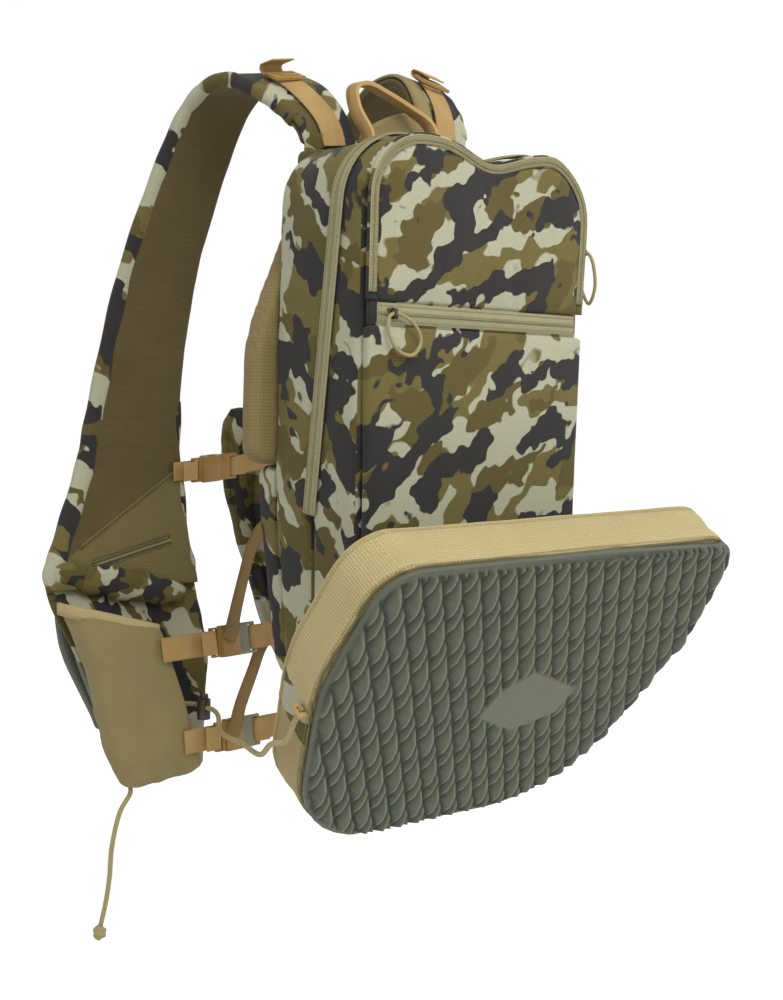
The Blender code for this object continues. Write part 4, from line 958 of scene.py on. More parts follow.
# %% Line of the straps
STRAP_ROWS = {
    "left": ((-0.012, 0.1658, 0.090, 0.030, 0.000), (-0.008, 0.190, 0.094, 0.032, 0.006),
             (0.012, 0.217, 0.101, 0.036, 0.013), (0.045, 0.238, 0.108, 0.038, 0.014),
             (0.095, 0.247, 0.113, 0.041, 0.008), (0.140, 0.226, 0.118, 0.045, 0.003),
             (0.172, 0.171, 0.128, 0.050, 0.000), (0.212, 0.056, 0.148, 0.061, 0.000),
             (0.240, -0.067, 0.161, 0.059, 0.000), (0.250, -0.140, 0.170, 0.050, 0.000),
             (0.246, -0.220, 0.198, 0.040, 0.000), (0.238, -0.260, 0.211, 0.034, 0.000),
             (0.225, -0.330, 0.181, 0.030, 0.000), (0.210, -0.400, 0.154, 0.038, 0.000),
             (0.199, -0.447, 0.134, 0.046, 0.000)),
    "right": ((-0.012, 0.1658, 0.104, 0.038, 0.000), (-0.011, 0.192, 0.111, 0.044, 0.003),
              (0.000, 0.224, 0.114, 0.049, 0.006), (0.022, 0.250, 0.112, 0.052, 0.008),
              (0.052, 0.258, 0.113, 0.054, 0.008), (0.092, 0.244, 0.116, 0.055, 0.004),
              (0.135, 0.190, 0.126, 0.057, 0.000), (0.190, 0.070, 0.146, 0.062, 0.000),
              (0.230, -0.055, 0.160, 0.060, 0.000), (0.248, -0.128, 0.170, 0.050, 0.000),
              (0.246, -0.208, 0.209, 0.051, 0.000), (0.238, -0.248, 0.233, 0.056, 0.000),
              (0.225, -0.318, 0.240, 0.072, 0.000), (0.210, -0.388, 0.236, 0.100, 0.000),
              (0.199, -0.435, 0.225, 0.121, 0.000))}
SIDES = {"left": -1, "right": 1}


def strap_stations(word):
    """Inner edge, outer edge, normal, direction and distance along the strap at each station."""
    rows = curve_through(STRAP_ROWS[word], 4)
    last = len(rows) - 1
    made = []
    run = 0.0
    for i, (y, z, outer, inner, droop) in enumerate(rows):
        ahead, behind = rows[min(i + 1, last)], rows[max(i - 1, 0)]
        along = Vector((0.0, ahead[0] - behind[0], ahead[1] - behind[1])).normalized()
        out_way = Vector((0.0, -along.z, along.y))
        near = Vector((SIDES[word] * inner, y, z))
        far = Vector((SIDES[word] * outer, y, z)) - out_way * droop
        normal = along.cross(far - near).normalized()
        normal = normal if normal.dot(out_way) > 0.0 else -normal
        run += math.dist(rows[i][:2], rows[i - 1][:2]) if i else 0.0
        made.append((near, far, normal, along, run))
    return made


STATIONS = {word: strap_stations(word) for word in SIDES}


def strap_run(word):
    """A measure of the distance along one strap for any point near it."""
    tree = KDTree(len(STATIONS[word]))
    for i, (near, far, *_) in enumerate(STATIONS[word]):
        tree.insert((near + far) / 2, i)
    tree.balance()

    def measure(place):
        near, far, _, along, run = STATIONS[word][tree.find(place)[1]]
        return run + (place - (near + far) / 2).dot(along)
    return measure


def strap_depth(word, height):
    """Depth of the strap's line on the chest side at a height."""
    chest = [row[0] for row in STATIONS[word]]
    peak = max(range(len(chest)), key=lambda i: chest[i].z)
    for a, b in zip(chest[peak:], chest[peak + 1:]):
        if b.z <= height <= a.z:
            return a.y + (b.y - a.y) * (a.z - height) / (a.z - b.z)
    return chest[-1].y


print("straps of", round(STATIONS["left"][-1][4], 3), "m")

# %% [markdown]
# Each strap is two layers: a printed shell outside and a foam lining with a brown knit inside. Below
# the chest the shell becomes the vest panel. These follow their CAD solids closely, so each is a copy
# of its solid: merge the doubles, join triangles back to quads, cut long edges, subdivide, and press
# small folds into it. A short root runs on from each strap into the yoke, where it is sewn.


# %% Cloth copied from a solid
def cloth_copy(node, looks, pick, slot_name, ripple, longest=0.014, cuts=(), body="pack", levels=2, run=None):
    """A subdivided, rippled copy of a CAD solid with a cloth on each face."""
    bm = bmesh.new()
    bm.from_mesh(nodes[node].data)
    bmesh.ops.remove_doubles(bm, verts=bm.verts, dist=1e-5)
    bmesh.ops.join_triangles(bm, faces=bm.faces, angle_face_threshold=1.2, angle_shape_threshold=2.4)
    for _ in range(4):
        long_edges = [e for e in bm.edges if e.calc_length() > longest]
        if not long_edges:
            break
        bmesh.ops.subdivide_edges(bm, edges=long_edges, cuts=1, use_grid_fill=True)
    for place, normal in cuts:
        bmesh.ops.bisect_plane(bm, geom=bm.verts[:] + bm.edges[:] + bm.faces[:], dist=1e-5, plane_co=place,
                               plane_no=normal)
    for face in bm.faces:
        face.material_index = pick(face.calc_center_median(), face.normal)
    item = link(node + "_cloth", bm, looks)
    round_off = item.modifiers.new("round_off", "SUBSURF")
    round_off.levels = round_off.render_levels = levels
    made = bpy.data.meshes.new_from_object(item.evaluated_get(bpy.context.evaluated_depsgraph_get()))
    item.modifiers.clear()
    item.data = made
    bm = bmesh.new()
    bm.from_mesh(made)
    bm.normal_update()
    for v, normal in [(v, v.normal.copy()) for v in bm.verts]:
        v.co = v.co + ripple(v.co, normal)
    if run:
        cloth_run(bm, run)
    bm.to_mesh(made)
    bm.free()
    carry(item, body, slot_name, node)
    return item


def strap_ripple(place, normal):
    small, large = fold(place, 0.022, (1.0, 0.6, 0.6)), fold(place, 0.06, seed=2.0)
    return normal * (0.0010 * small + 0.0008 * large - 0.0004)


def shell_cloth(place, normal):
    """The right strap has plain cloth along its inner edge, near the bag."""
    return 1 if 0.0 < place.x < 0.066 and place.z > 0.12 else 0


for word in SIDES:
    run = strap_run(word)
    shell = cloth_copy("strap_shell_" + word, [VEST_PRINT, STRETCH], shell_cloth, "camo_cloth",
                       strap_ripple, run=run)
    panel = cloth_copy("vest_panel_" + word, [VEST_PRINT], lambda p, n: 0, "camo_cloth",
                       strap_ripple, run=run)
    near, far = STATIONS[word][0][:2]
    middle = (near + far) / 2
    root = [Vector((middle.x, -0.012, 0.150 + 0.003 * k)) for k in range(11)]
    bm = swept(strip_section(0.058, 0.0105, 0.0034), root, Vector((0.0, -1.0, 0.0)))
    cloth_run(bm, run)
    carry(link("strap_root_" + word, bm, VEST_PRINT), "pack", "camo_cloth")
print("shells and panels made")

# %% [markdown]
# Along its outer edge the shell is turned over the foam and sewn down on the wearer's side, so the
# print shows as a rounded border beside the knit. A flat oval is swept along that edge and grows
# towards the chest. A second, softer roll closes the lower end of the lining above the pouch.


# %% Turned edges
def oval(wide, high, sides=14):
    """An oval as a section."""
    return [(wide * x, high * y) for x, y in round_section(1.0, sides)]


def printed_roll(name, section, line, ups, swell, run):
    """A swept roll in the vest's print."""
    bm = swept(section, line, ups, swell=swell)
    cloth_run(bm, run)
    roll = carry(link(name, bm, VEST_PRINT), "pack", "camo_cloth")
    return roll


for word, side in SIDES.items():
    rows = [row for row in STATIONS[word][5:] if row[0].z > -0.262]
    edge = curve_through([far - (far - near).normalized() * 0.0050 - n * 0.0010
                          for near, far, n, *_ in rows], 3)
    ups = curve_through([row[2] for row in rows], 3)
    count = len(edge)
    printed_roll("strap_edge_" + word, oval(0.0090, 0.0084), edge, ups,
                 lambda i: (0.86 + 0.30 * smooth_step(0.45, 0.9, i / count))
                 * (1.0 + 0.05 * math.sin(i * 0.9)) * (1.0 - 0.55 * smooth_step(0.93, 1.0, i / count)),
                 strap_run(word))
    rows = [row for row in rows if row[0].z < -0.06 and row[0].y > 0.2]
    edge = curve_through([near + (far - near).normalized() * 0.0030 - n * 0.0010
                          for near, far, n, *_ in rows], 3)
    ups = curve_through([row[2] for row in rows], 3)
    printed_roll("strap_inner_edge_" + word, oval(0.0055, 0.0080), edge, ups,
                 lambda i: 0.75 + 0.25 * math.sin(i * 0.5), strap_run(word))
    lift, swing = (0.012, 0.023) if side > 0 else (0.0, 0.0)
    spots = [(side * (0.203 - 0.145 * t + swing), -0.240 - 0.030 * t + lift)
             for t in [k / 24 for k in range(25)]]
    lip = [Vector((x, strap_depth(word, z) - 0.0090, z + 0.0015 * math.sin(x * 160.0))) for x, z in spots]
    printed_roll("vest_lip_" + word, oval(0.0165, 0.0060), lip, Vector((0.0, -1.0, 0.0)),
                 lambda i: (0.30 + 0.70 * math.sin(math.pi * min(max((i + 1) / 26, 0.0), 1.0)) ** 0.6)
                 * (1.0 + 0.06 * math.sin(i * 1.3)), lambda p: p.z * 1.2 + 0.3 * p.x)
print("edges turned")

# %% [markdown]
# The lining is knit above a slanting seam. Below it lies a flat inner pocket of smooth coated cloth,
# closed by a slim zip. A plane cuts the copied solid along the seam, so the two cloths meet in a
# clean line, and a ridge of binding is laid on it. To lay things on the lining, a ray is cast on it
# from the wearer's side.

# %% Lining, its seam and the inner pocket
linings = {}
SEAM_SPOTS = {"left": (Vector((-0.1029, 0.0, -0.1703)), Vector((-0.555, 0.0, 0.832))),
              "right": (Vector((0.1150, 0.0, -0.1583)), Vector((0.555, 0.0, 0.832)))}


def lining_ripple(place, normal):
    return normal * (0.0012 * fold(place, 0.030, (1.2, 0.7, 0.7), 7.0) - 0.0004)


for word in ("left", "right"):
    spot_on, across_seam = SEAM_SPOTS[word]
    lining = cloth_copy("strap_lining_" + word, [KNIT, COATED],
                        lambda p, n: 1 if (p - spot_on).dot(across_seam) < 0.0 and p.z < 0.0 else 0,
                        "brown_lining", lining_ripple, cuts=[(spot_on, across_seam)])
    linings[word] = BVHTree.FromPolygons([v.co for v in lining.data.vertices],
                                         [p.vertices for p in lining.data.polygons])


def lay(tree, spots, rise):
    """Points (x, z) laid on a surface from the wearer's side, a little above it."""
    made = []
    for x, z in spots:
        hit = tree.ray_cast(Vector((x, 0.10, z)), Vector((0.0, 1.0, 0.0)))[0]
        if hit is not None:
            made.append(hit - Vector((0.0, rise, 0.0)))
    return made


for word in SIDES:
    spot_on, across_seam = SEAM_SPOTS[word]
    run = Vector((across_seam.z, 0.0, -across_seam.x))
    spots = [((spot_on + run * t).x, (spot_on + run * t).z) for t in
             [(-0.085 + 0.17 * k / 34) for k in range(35)]]
    line = lay(linings[word], spots, 0.0004)
    if len(line) > 3:
        bm = swept(strip_section(0.0045, 0.0016), line, Vector((0.0, -1.0, 0.0)))
        carry(link("inner_pocket_binding_" + word, bm, COATED), "pack", "brown_lining")
        seam = [p - Vector((0.0, 0.0010, 0.0)) for p in line]
        stitch("inner_pocket_stitch_" + word, seam, 0.0032, DARK_THREAD, "pack", "brown_lining")
zip_spots = [(-0.1600 + 0.0930 * t, -0.2352 + 0.0222 * t) for t in [k / 24 for k in range(25)]]
zip_line = lay(linings["left"], zip_spots, 0.0006)
DARK_TAPE = woven("brown_zip_tape", srgb(112, 98, 62), srgb(88, 75, 44), 0.0010, 0.012, 0.8)
zip_piece("inner_pocket_zip", zip_line, Vector((0.0, -1.0, 0.0)), 0.011, 0.0010, None, tape=DARK_TAPE)
print("linings made, zip of", len(zip_line), "stations")

# %% [markdown]
# ## Pouches and pockets of the vest
# An open pouch of stretch cloth is sewn to the wearer's side of each panel, with a pale binding
# folded over its mouth. The far side carries a thick pocket and a moulded call pocket. The pouch
# keeps its thin wall from the CAD solid; its folds push both faces of the wall the same way.


# %% Pouches with their bindings
def pouch_ripple(place, normal):
    hang = (fold(place, 0.036, (1.6, 0.4, 0.36), 4.0) * 0.0052
            + fold(place, 0.014, (1.0, 0.4, 0.4), 6.0) * 0.0009)
    drop = min(max((-0.285 - place.z) / 0.14, 0.0), 1.0)
    cinch = 0.008 * math.sin(math.pi * drop) * smooth_step(0.135, 0.185, abs(place.x))
    crease = normal * (0.0014 * fold(place, 0.020, (1.2, 0.4, 0.5), 7.0)
                       * smooth_step(-0.295, -0.315, place.z))
    return Vector((-math.copysign(cinch, place.x), hang * smooth_step(-0.30, -0.33, place.z), 0.0)) + crease


POUCH_TILT = 0.26
for word, side in SIDES.items():
    cloth_copy("pouch_" + word, [STRETCH], lambda p, n: 0, "tan_stretch_cloth", pouch_ripple)
    corners = [v.co for v in nodes["pouch_" + word].data.vertices]
    top = max(corners, key=lambda p: p.z)
    rim = [p for p in corners if abs(p.z - top.z - POUCH_TILT * (abs(p.x) - abs(top.x))) < 3e-4]
    ends = sorted(abs(p.x) for p in rim)
    middle, half = (ends[0] + ends[-1]) / 2, (ends[-1] - ends[0]) / 2 + 0.0002
    back_edge, front_edge = max(p.y for p in rim), min(p.y for p in rim)
    ring = []
    for k in range(60):
        turn = 2 * math.pi * k / 60
        u = math.copysign(abs(math.cos(turn)) ** 0.5, math.cos(turn))
        w = math.copysign(abs(math.sin(turn)) ** 0.5, math.sin(turn))
        ring.append(Vector((side * (middle + half * u), (back_edge + front_edge) / 2
                            + ((back_edge - front_edge) / 2 + 0.0002) * w,
                            top.z + POUCH_TILT * (middle + half * u - abs(top.x)) - 0.0056)))
    heart = sum(ring, Vector()) / len(ring)
    outs = [Vector((p.x - heart.x, p.y - heart.y, 0.0)).normalized() for p in ring]
    bm = swept(strip_section(0.0124, 0.0034, 0.0012), ring, outs, closed=True)
    carry(link("pouch_binding_" + word, bm, BINDING), "pack", "tan_stretch_cloth")
    seam = [p + o * 0.0018 - Vector((0.0, 0.0, 0.0044)) for p, o in zip(ring + ring[:1], outs + outs[:1])]
    stitch("pouch_binding_stitch_" + word, seam, 0.0030, THREAD, "pack", "tan_stretch_cloth")
print("pouches made; mouth half width", round(half, 4))

# %% [markdown]
# The thick pockets on the chest side are soft boxes. On the left half their inner gusset is brown
# cloth, on the right it is printed. The call pockets are plain moulded sheets.


# %% Chest pockets
def pocket_ripple(place, normal):
    return normal * (0.0016 * fold(place, 0.028, seed=8.0) - 0.0006)


def call_ripple(place, normal):
    return normal * (0.0006 * fold(place, 0.05, seed=9.0) - 0.0003)


def chest_cloth(place, normal):
    """Print on the face, brown cloth on the inner gusset, foam on the outer one."""
    return 1 if normal.x > 0.5 or normal.z < -0.6 else 2 if normal.x < -0.4 else 0


chest = cloth_copy("outer_pocket_left", [VEST_PRINT, COATED, FOAM], chest_cloth, "camo_cloth", pocket_ripple,
                   run=strap_run("left"))
chest = cloth_copy("outer_pocket_right", [VEST_PRINT], lambda p, n: 0, "camo_cloth", pocket_ripple,
                   run=strap_run("right"))
for word in ("left", "right"):
    cloth_copy("call_pocket_" + word, [FOAM], lambda p, n: 0, "moulded_foam", call_ripple)
print("chest pockets made")

# %% [markdown]
# ## Webbing
# Webbing is flat, so it is swept directly: the haul loop on top, and the loose tails of the waist
# and hip closures. Their lines repeat the routes of the CAD solids.


# %% Sweep the webbing
def webbing(name, line, sides, width, thick, look, slot_name, body, *replaced, swell=None):
    """A strip of webbing; sides are the directions across it, one or a few spread along the line."""
    across = []
    for i in range(len(line)):
        t = i / (len(line) - 1) * (len(sides) - 1)
        k = min(int(t), len(sides) - 2) if len(sides) > 1 else 0
        a = Vector(sides[k])
        b = Vector(sides[min(k + 1, len(sides) - 1)])
        across.append(a.lerp(b, t - k).normalized())
    last = len(line) - 1
    ups = []
    for i, wide in enumerate(across):
        along = (line[min(i + 1, last)] - line[max(i - 1, 0)]).normalized()
        ups.append(wide.cross(along).normalized())
    bm = swept(strip_section(width, thick, 0.0004), line, ups, swell=swell)
    return carry(link(name, bm, look), body, slot_name, *replaced)


def raised(points):
    """Points given from the floor of the pack, in the frame of the back panel."""
    return [Vector((x, y, z - 0.330)) for x, y, z in points]


haul_line = curve_through(raised([(x, -0.045 + y, 0.494 + z) for x, y, z in (
    (0.0375, 0.000, 0.0003), (0.0380, 0.000, 0.006), (0.0390, 0.000, 0.018), (0.0350, 0.008, 0.037),
    (0.0180, 0.019, 0.051), (-0.0040, 0.026, 0.062), (-0.0240, 0.029, 0.068), (-0.0400, 0.027, 0.061),
    (-0.0450, 0.016, 0.040), (-0.0435, 0.000, 0.018), (-0.0422, 0.000, 0.006), (-0.0415, 0.000, 0.0003))]), 6)


def grip(i):
    """The webbing is folded in half along the grip and opens out towards its feet."""
    foot = smooth_step(0.62, 0.95, abs(2 * i / (len(haul_line) - 1) - 1))
    return 0.54 + 0.34 * foot, 1.7 - 0.7 * foot


webbing("haul_loop_webbing", haul_line, [(0.0, 1.0, 0.0)], 0.025, 0.0026, WEB_TAN, "tan_webbing",
        "pack", "haul_loop", swell=grip)
for name, x in (("right", 0.0378), ("left", -0.0418)):
    for row, z in (("low", 0.1685), ("high", 0.1735)):
        for face in (-1, 1):
            bar = [Vector((x + face * 0.0017, -0.0545 + 0.0019 * k, z + 0.0006 * (k % 2))) for k in range(11)]
            end = "_a" if face < 0 else "_b"
            stitch("haul_tack_" + name + "_" + row + end, bar, 0.0016, THREAD, "pack", "tan_webbing")
waist_tail = curve_through(raised((
    (-0.0385, 0.1697, 0.0175), (-0.0325, 0.1718, 0.030), (-0.026, 0.1755, 0.047), (-0.005, 0.192, 0.080),
    (0.022, 0.2165, 0.107), (0.046, 0.2335, 0.123), (0.064, 0.2363, 0.130))), 5)
webbing("waist_tail_webbing", waist_tail, [(0.78, -0.06, -0.62), (0.75, 0.20, -0.60), (0.35, -0.02, -0.93)],
        0.018, 0.0014, WEB_BROWN, "brown_webbing", "pack", "waist_tail")
hip_tail = curve_through(raised((
    (-0.0385, 0.1598, -0.079), (-0.0325, 0.1604, -0.066), (-0.026, 0.1634, -0.050), (0.002, 0.182, -0.020),
    (0.030, 0.204, 0.004), (0.060, 0.2205, 0.016), (0.088, 0.2256, 0.022))), 5)
webbing("hip_tail_webbing", hip_tail, [(0.78, -0.03, -0.62), (0.75, 0.20, -0.60), (0.35, -0.17, -0.92)],
        0.018, 0.0014, WEB_BROWN, "brown_webbing", "pack", "hip_tail")
print("haul loop and tails swept")

# %% [markdown]
# The closures and lifters bend tightly round their buckles. There the CAD solid already has the
# right shape, so a copy of it takes the weave: `along` and `across` are measured on the closure's
# own directions, and a small bevel rounds the selvedge.


# %% Webbing copied from its solid
def web_copy(node, along, across, look):
    """A bevelled copy of a webbing solid, with weave coordinates from two directions."""
    bm = bmesh.new()
    bm.from_mesh(nodes[node].data)
    bmesh.ops.remove_doubles(bm, verts=bm.verts, dist=1e-5)
    bmesh.ops.join_triangles(bm, faces=bm.faces, angle_face_threshold=0.8, angle_shape_threshold=2.4)
    long_edges = [e for e in bm.edges if e.calc_length() > 0.006]
    bmesh.ops.subdivide_edges(bm, edges=long_edges, cuts=3, use_grid_fill=True)
    far = bm.verts.layers.float.new("along")
    wide = bm.verts.layers.float.new("across")
    middle = sum((v.co.dot(across) for v in bm.verts), 0.0) / len(bm.verts)
    for v in bm.verts:
        v[far] = v.co.dot(along)
        v[wide] = v.co.dot(across) - middle
    item = link(node + "_weave", bm, look)
    soft = item.modifiers.new("selvedge", "BEVEL")
    soft.width = 0.0003
    soft.segments = 2
    soft.limit_method = "ANGLE"
    soft.angle_limit = math.radians(50)
    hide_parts(node)
    return item


CLOSURES = {"sternum": (Vector((0.996, -0.011, 0.093)), Vector((-0.094, -0.128, 0.987))),
            "waist": (Vector((0.999, 0.002, 0.046)), Vector((-0.045, 0.177, 0.983))),
            "hip": (Vector((0.999, 0.0, 0.049)), Vector((-0.049, 0.05, 0.998)))}
for name, (along, across) in CLOSURES.items():
    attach(web_copy(name + "_web_left", along, across, WEB_TAN), "pack")
    loose = web_copy(name + "_web_right", along, across, WEB_TAN)
    low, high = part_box(name + "_web_right")
    middle = (low + high) / 2
    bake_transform(loose)
for word in ("left", "right"):
    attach(web_copy("lifter_webbing_" + word, Vector((0.0, 0.55, 0.83)), Vector((1.0, 0.0, 0.0)), WEB_TAN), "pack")
print("closure webbing woven")

# %% [markdown]
# ## Buckles, sliders and small hard pieces
# The hard pieces have their true shape in CAD. A moulded edge is never sharp, so each is shown as a
# copy with a fine bevel that catches the light.


# %% Ease the edges of hard pieces
def eased(node, look, width, slot_name, body):
    """A copy of a hard solid with rounded edges."""
    bm = bmesh.new()
    bm.from_mesh(nodes[node].data)
    bmesh.ops.remove_doubles(bm, verts=bm.verts, dist=1e-5)
    bmesh.ops.dissolve_limit(bm, angle_limit=math.radians(1.0), verts=bm.verts, edges=bm.edges)
    item = link(node + "_eased", bm, look)
    for face in item.data.polygons:
        face.use_smooth = True
    soft = item.modifiers.new("eased_edges", "BEVEL")
    soft.width = width
    soft.segments = 2
    soft.limit_method = "ANGLE"
    soft.angle_limit = math.radians(35)
    soft.harden_normals = True
    return carry(item, body, slot_name, node)


for name in CLOSURES:
    eased(name + "_female", BUCKLE, 0.0009, "tan_plastic", "pack")
    eased(name + "_male", BUCKLE if name == "sternum" else GREY_CLIP, 0.0006, "tan_plastic", name + "_tongue")
for word in ("left", "right"):
    eased("lifter_buckle_" + word, BUCKLE, 0.0007, "tan_plastic", "pack")
    eased("seat_hinge_loop_" + word, WEB_BROWN, 0.0005, "brown_webbing", "seat")
eased("cord_lock_body", DARK, 0.0007, "dark_plastic", "pack")
eased("cord_lock_button", DARK, 0.0007, "dark_plastic", "lock_button")
eased("seat_cord_tab", WEB_TAN, 0.0004, "tan_webbing", "seat")
eased("seat_hinge_rod", WEB_BROWN, 0.0006, "brown_webbing", "pack")
for name in ("slash", "arch", "main"):
    eased(name + "_zip_slider", METAL, 0.0004, "dark_metal", name + "_slider")
spring = eased("cord_lock_spring", STEEL, 0.0001, "spring_steel", "pack")
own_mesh(spring)
nodes["back_stiffener"].data.materials.clear()
nodes["back_stiffener"].data.materials.append(SHEET)
print("hard pieces eased")

# %% [markdown]
# The zip pulls are loops of thin cord through the sliders' bails. Each runs through a few points
# about its bail, as in the CAD, and gets the same braid as the cords.

# %% Zip pulls
HANGING = ((0.0, 0.0, 0.0), (0.0004, 0.006, -0.0020), (0.004, 0.0085, -0.012), (0.007, 0.0085, -0.032),
           (0.0085, 0.0, -0.047), (0.007, -0.0085, -0.032), (0.004, -0.0085, -0.012),
           (0.0004, -0.006, -0.0020))
SLANTED = ((0.0, 0.0, 0.0), (0.007, -0.0010, -0.0010), (0.018, -0.0045, -0.008), (0.026, -0.0045, -0.022),
           (0.017, -0.0045, -0.034), (0.001, -0.0045, -0.031), (-0.009, -0.0045, -0.018),
           (-0.008, -0.0020, -0.004))
PULL_RADIUS = 0.0016
for name, hold, shape in (("slash", (-0.103, -0.1589, 0.013), SLANTED),
                          ("arch", (0.1356, -0.1499, 0.082), HANGING),
                          ("main", (0.1386, -0.0867, -0.148), HANGING)):
    loop = curve_through([Vector(hold) + Vector(p) for p in shape], 6, closed=True)
    pull = cord_piece(name + "_zip_pull_cord", loop, PULL_RADIUS, closed=True, sides=10)
    carry(pull, name + "_pull", "pale_cord", name + "_zip_pull")
print("pulls made")

# %% [markdown]
# The yoke joins the straps to the pad. It is a short padded roll of brown cloth with printed ends,
# copied from its solid. Between the straps a khaki flap stands up behind the haul loop: its outline
# is one face, extruded to its thickness and bevelled.

# %% Yoke
ENDS = [(Vector((x, 0.0, 0.0)), Vector((1.0, 0.0, 0.0))) for x in (-0.062, 0.062)]
yoke = cloth_copy("yoke", [PAD_MESH, SIDE_PRINT], lambda p, n: 1 if abs(p.x) > 0.062 else 0, "brown_lining",
                  lining_ripple, cuts=ENDS, run=gusset_run)
bm = bmesh.new()
outline = curve_through([Vector(p) for p in (
    (-0.026, -0.0165, 0.160), (-0.024, -0.0165, 0.186), (0.000, -0.0165, 0.203), (0.028, -0.0165, 0.213),
    (0.046, -0.0165, 0.213), (0.050, -0.0165, 0.190), (0.048, -0.0165, 0.160))], 4)
face = bmesh.ops.contextual_create(bm, geom=[bm.verts.new(p) for p in outline])["faces"][0]
back = bmesh.ops.extrude_face_region(bm, geom=[face])["geom"]
bmesh.ops.translate(bm, vec=(0.0, 0.009, 0.0), verts=[g for g in back if isinstance(g, bmesh.types.BMVert)])
bmesh.ops.recalc_face_normals(bm, faces=bm.faces)
rims = [e for e in bm.edges if abs((e.verts[0].co - e.verts[1].co).y) < 1e-6]
bmesh.ops.bevel(bm, geom=rims, offset=0.0032, segments=4, profile=0.5, affect="EDGES", material=-1)
flap = carry(link("yoke_flap", bm, STRETCH), "pack", "tan_stretch_cloth")
print("yoke made")

# %% [markdown]
# ## Seat
# The seat leans on its hinge, so it is easiest to think in its own frame: X across, Y through the
# cushion and Z along it. Its cushion has a band of spacer mesh round the edge, print on the sitting
# face and on a low corner, and piping where the panels meet. Planes cut the skin where the cloth
# changes, so that each border is clean.

# %% Seat frame and outline
SEAT_PLACE = Matrix.Translation((0.0, -0.1525, -0.2595)) @ Matrix.Rotation(SEAT_LEAN, 4, "X")
SEAT_BACK_TO = SEAT_PLACE.inverted()
seat_points = [SEAT_BACK_TO @ v.co for v in nodes["seat_cushion"].data.vertices]
belt = sorted({(round(p.x, 5), round(p.z, 5)) for p in seat_points if abs(p.y + 0.0234) < 6e-4},
              key=lambda p: math.atan2(-p[0], p[1] + 0.02))
seat_low, seat_high = min(p[1] for p in belt), max(p[1] for p in belt)
RIM_PITCH = 0.003
rim = even([Vector((x, 0.0, z)) for x, z in belt + belt[:1]], RIM_PITCH)
if (rim[-1] - rim[0]).length < RIM_PITCH / 2:
    rim.pop()
rim_ways = [(rim[(i + 1) % len(rim)] - rim[i - 1]).normalized() for i in range(len(rim))]
rim_tree = KDTree(len(rim))
for i, p in enumerate(rim):
    rim_tree.insert(p, i)
rim_tree.balance()


def rim_distance(place):
    """Distance along the outline, and how far inside it, for a point in the seat's frame."""
    flat = Vector((place.x, 0.0, place.z))
    spot_on, i, gap = rim_tree.find(flat)
    return i * RIM_PITCH + (flat - spot_on).dot(rim_ways[i]), gap


print("seat outline of", len(rim), "points, heights", round(seat_low, 3), round(seat_high, 3))

# %% [markdown]
# The cushion's skin is cut by planes where its cloth changes. The mesh of the band follows the
# outline: each vertex keeps its distance round the seat and its depth through it.

# %% Seat cushion
item = skins["seat_cushion"][0]
bm = bmesh.new()
bm.from_mesh(item.data)
bmesh.ops.transform(bm, matrix=SEAT_BACK_TO, verts=bm.verts)
REAR_SEAM, SITTING_FACE = -0.0130, -0.0029
CORNER_TOP = (Vector((0.0, -0.0617, -0.0243)), Vector((0.0, -0.346, 0.938)))
CORNER_LOW = (Vector((0.0, -0.0617, -0.0600)), Vector((0.0, -0.346, 0.938)))
for place, normal in ((Vector((0.0, REAR_SEAM, 0.0)), Vector((0.0, 1.0, 0.0))), CORNER_TOP, CORNER_LOW):
    bmesh.ops.bisect_plane(bm, geom=bm.verts[:] + bm.edges[:] + bm.faces[:], dist=2e-4, plane_co=place,
                           plane_no=normal)
bm.normal_update()
around = bm.verts.layers.float.new("around")
through = bm.verts.layers.float.new("through")
run = bm.verts.layers.float.new("run")
for v, normal in [(v, v.normal.copy()) for v in bm.verts]:
    v[around] = rim_distance(v.co)[0]
    v[through] = v.co.y
    v[run] = v.co.z + 0.5 * v.co.y
    side_face = smooth_step(-0.010, -0.020, v.co.y)
    v.co += normal * (0.0010 * fold(v.co, 0.040, seed=11.0) * side_face + 0.0014 * fold(v.co, 0.05, seed=12.0)
                      * (1.0 - side_face))
    if v.co.y > SITTING_FACE:
        v.co.y = SITTING_FACE + 0.0008 * math.tanh((v.co.y - SITTING_FACE) / 0.0008)
for face in bm.faces:
    heart = face.calc_center_median()
    above = (heart - CORNER_TOP[0]).dot(CORNER_TOP[1])
    below = (heart - CORNER_LOW[0]).dot(CORNER_LOW[1])
    if heart.y > REAR_SEAM:
        face.material_index = 1
    elif above > 0.0 or abs(heart.x) < 0.10:
        face.material_index = 0
    else:
        face.material_index = 1 if below > 0.0 else 2
    face.smooth = True
bmesh.ops.transform(bm, matrix=SEAT_PLACE, verts=bm.verts)
bm.to_mesh(item.data)
bm.free()
SEAT_PRINT = printed_cloth("printed_cloth_seat", 0, 19.0)
SEAT_PLAIN = plain_cloth("tan_plain_cloth", srgb(182, 164, 114), srgb(156, 138, 92), 0.0011, 0.0010,
                         hole_shade=0.12)
for look in (SEAT_MESH, SEAT_PRINT, SEAT_PLAIN):
    item.data.materials.append(look)
finer = item.modifiers.new("finer", "SUBSURF")
finer.levels = finer.render_levels = 1
carry(item, "seat", "tan_mesh", "seat_cushion")
print("seat cushion dressed")

# %% [markdown]
# Thin piping hides the two long seams of the cushion, at the sitting face and where the moulded base
# begins, and a row of stitches runs beside each. All of them follow the outline of the solid.


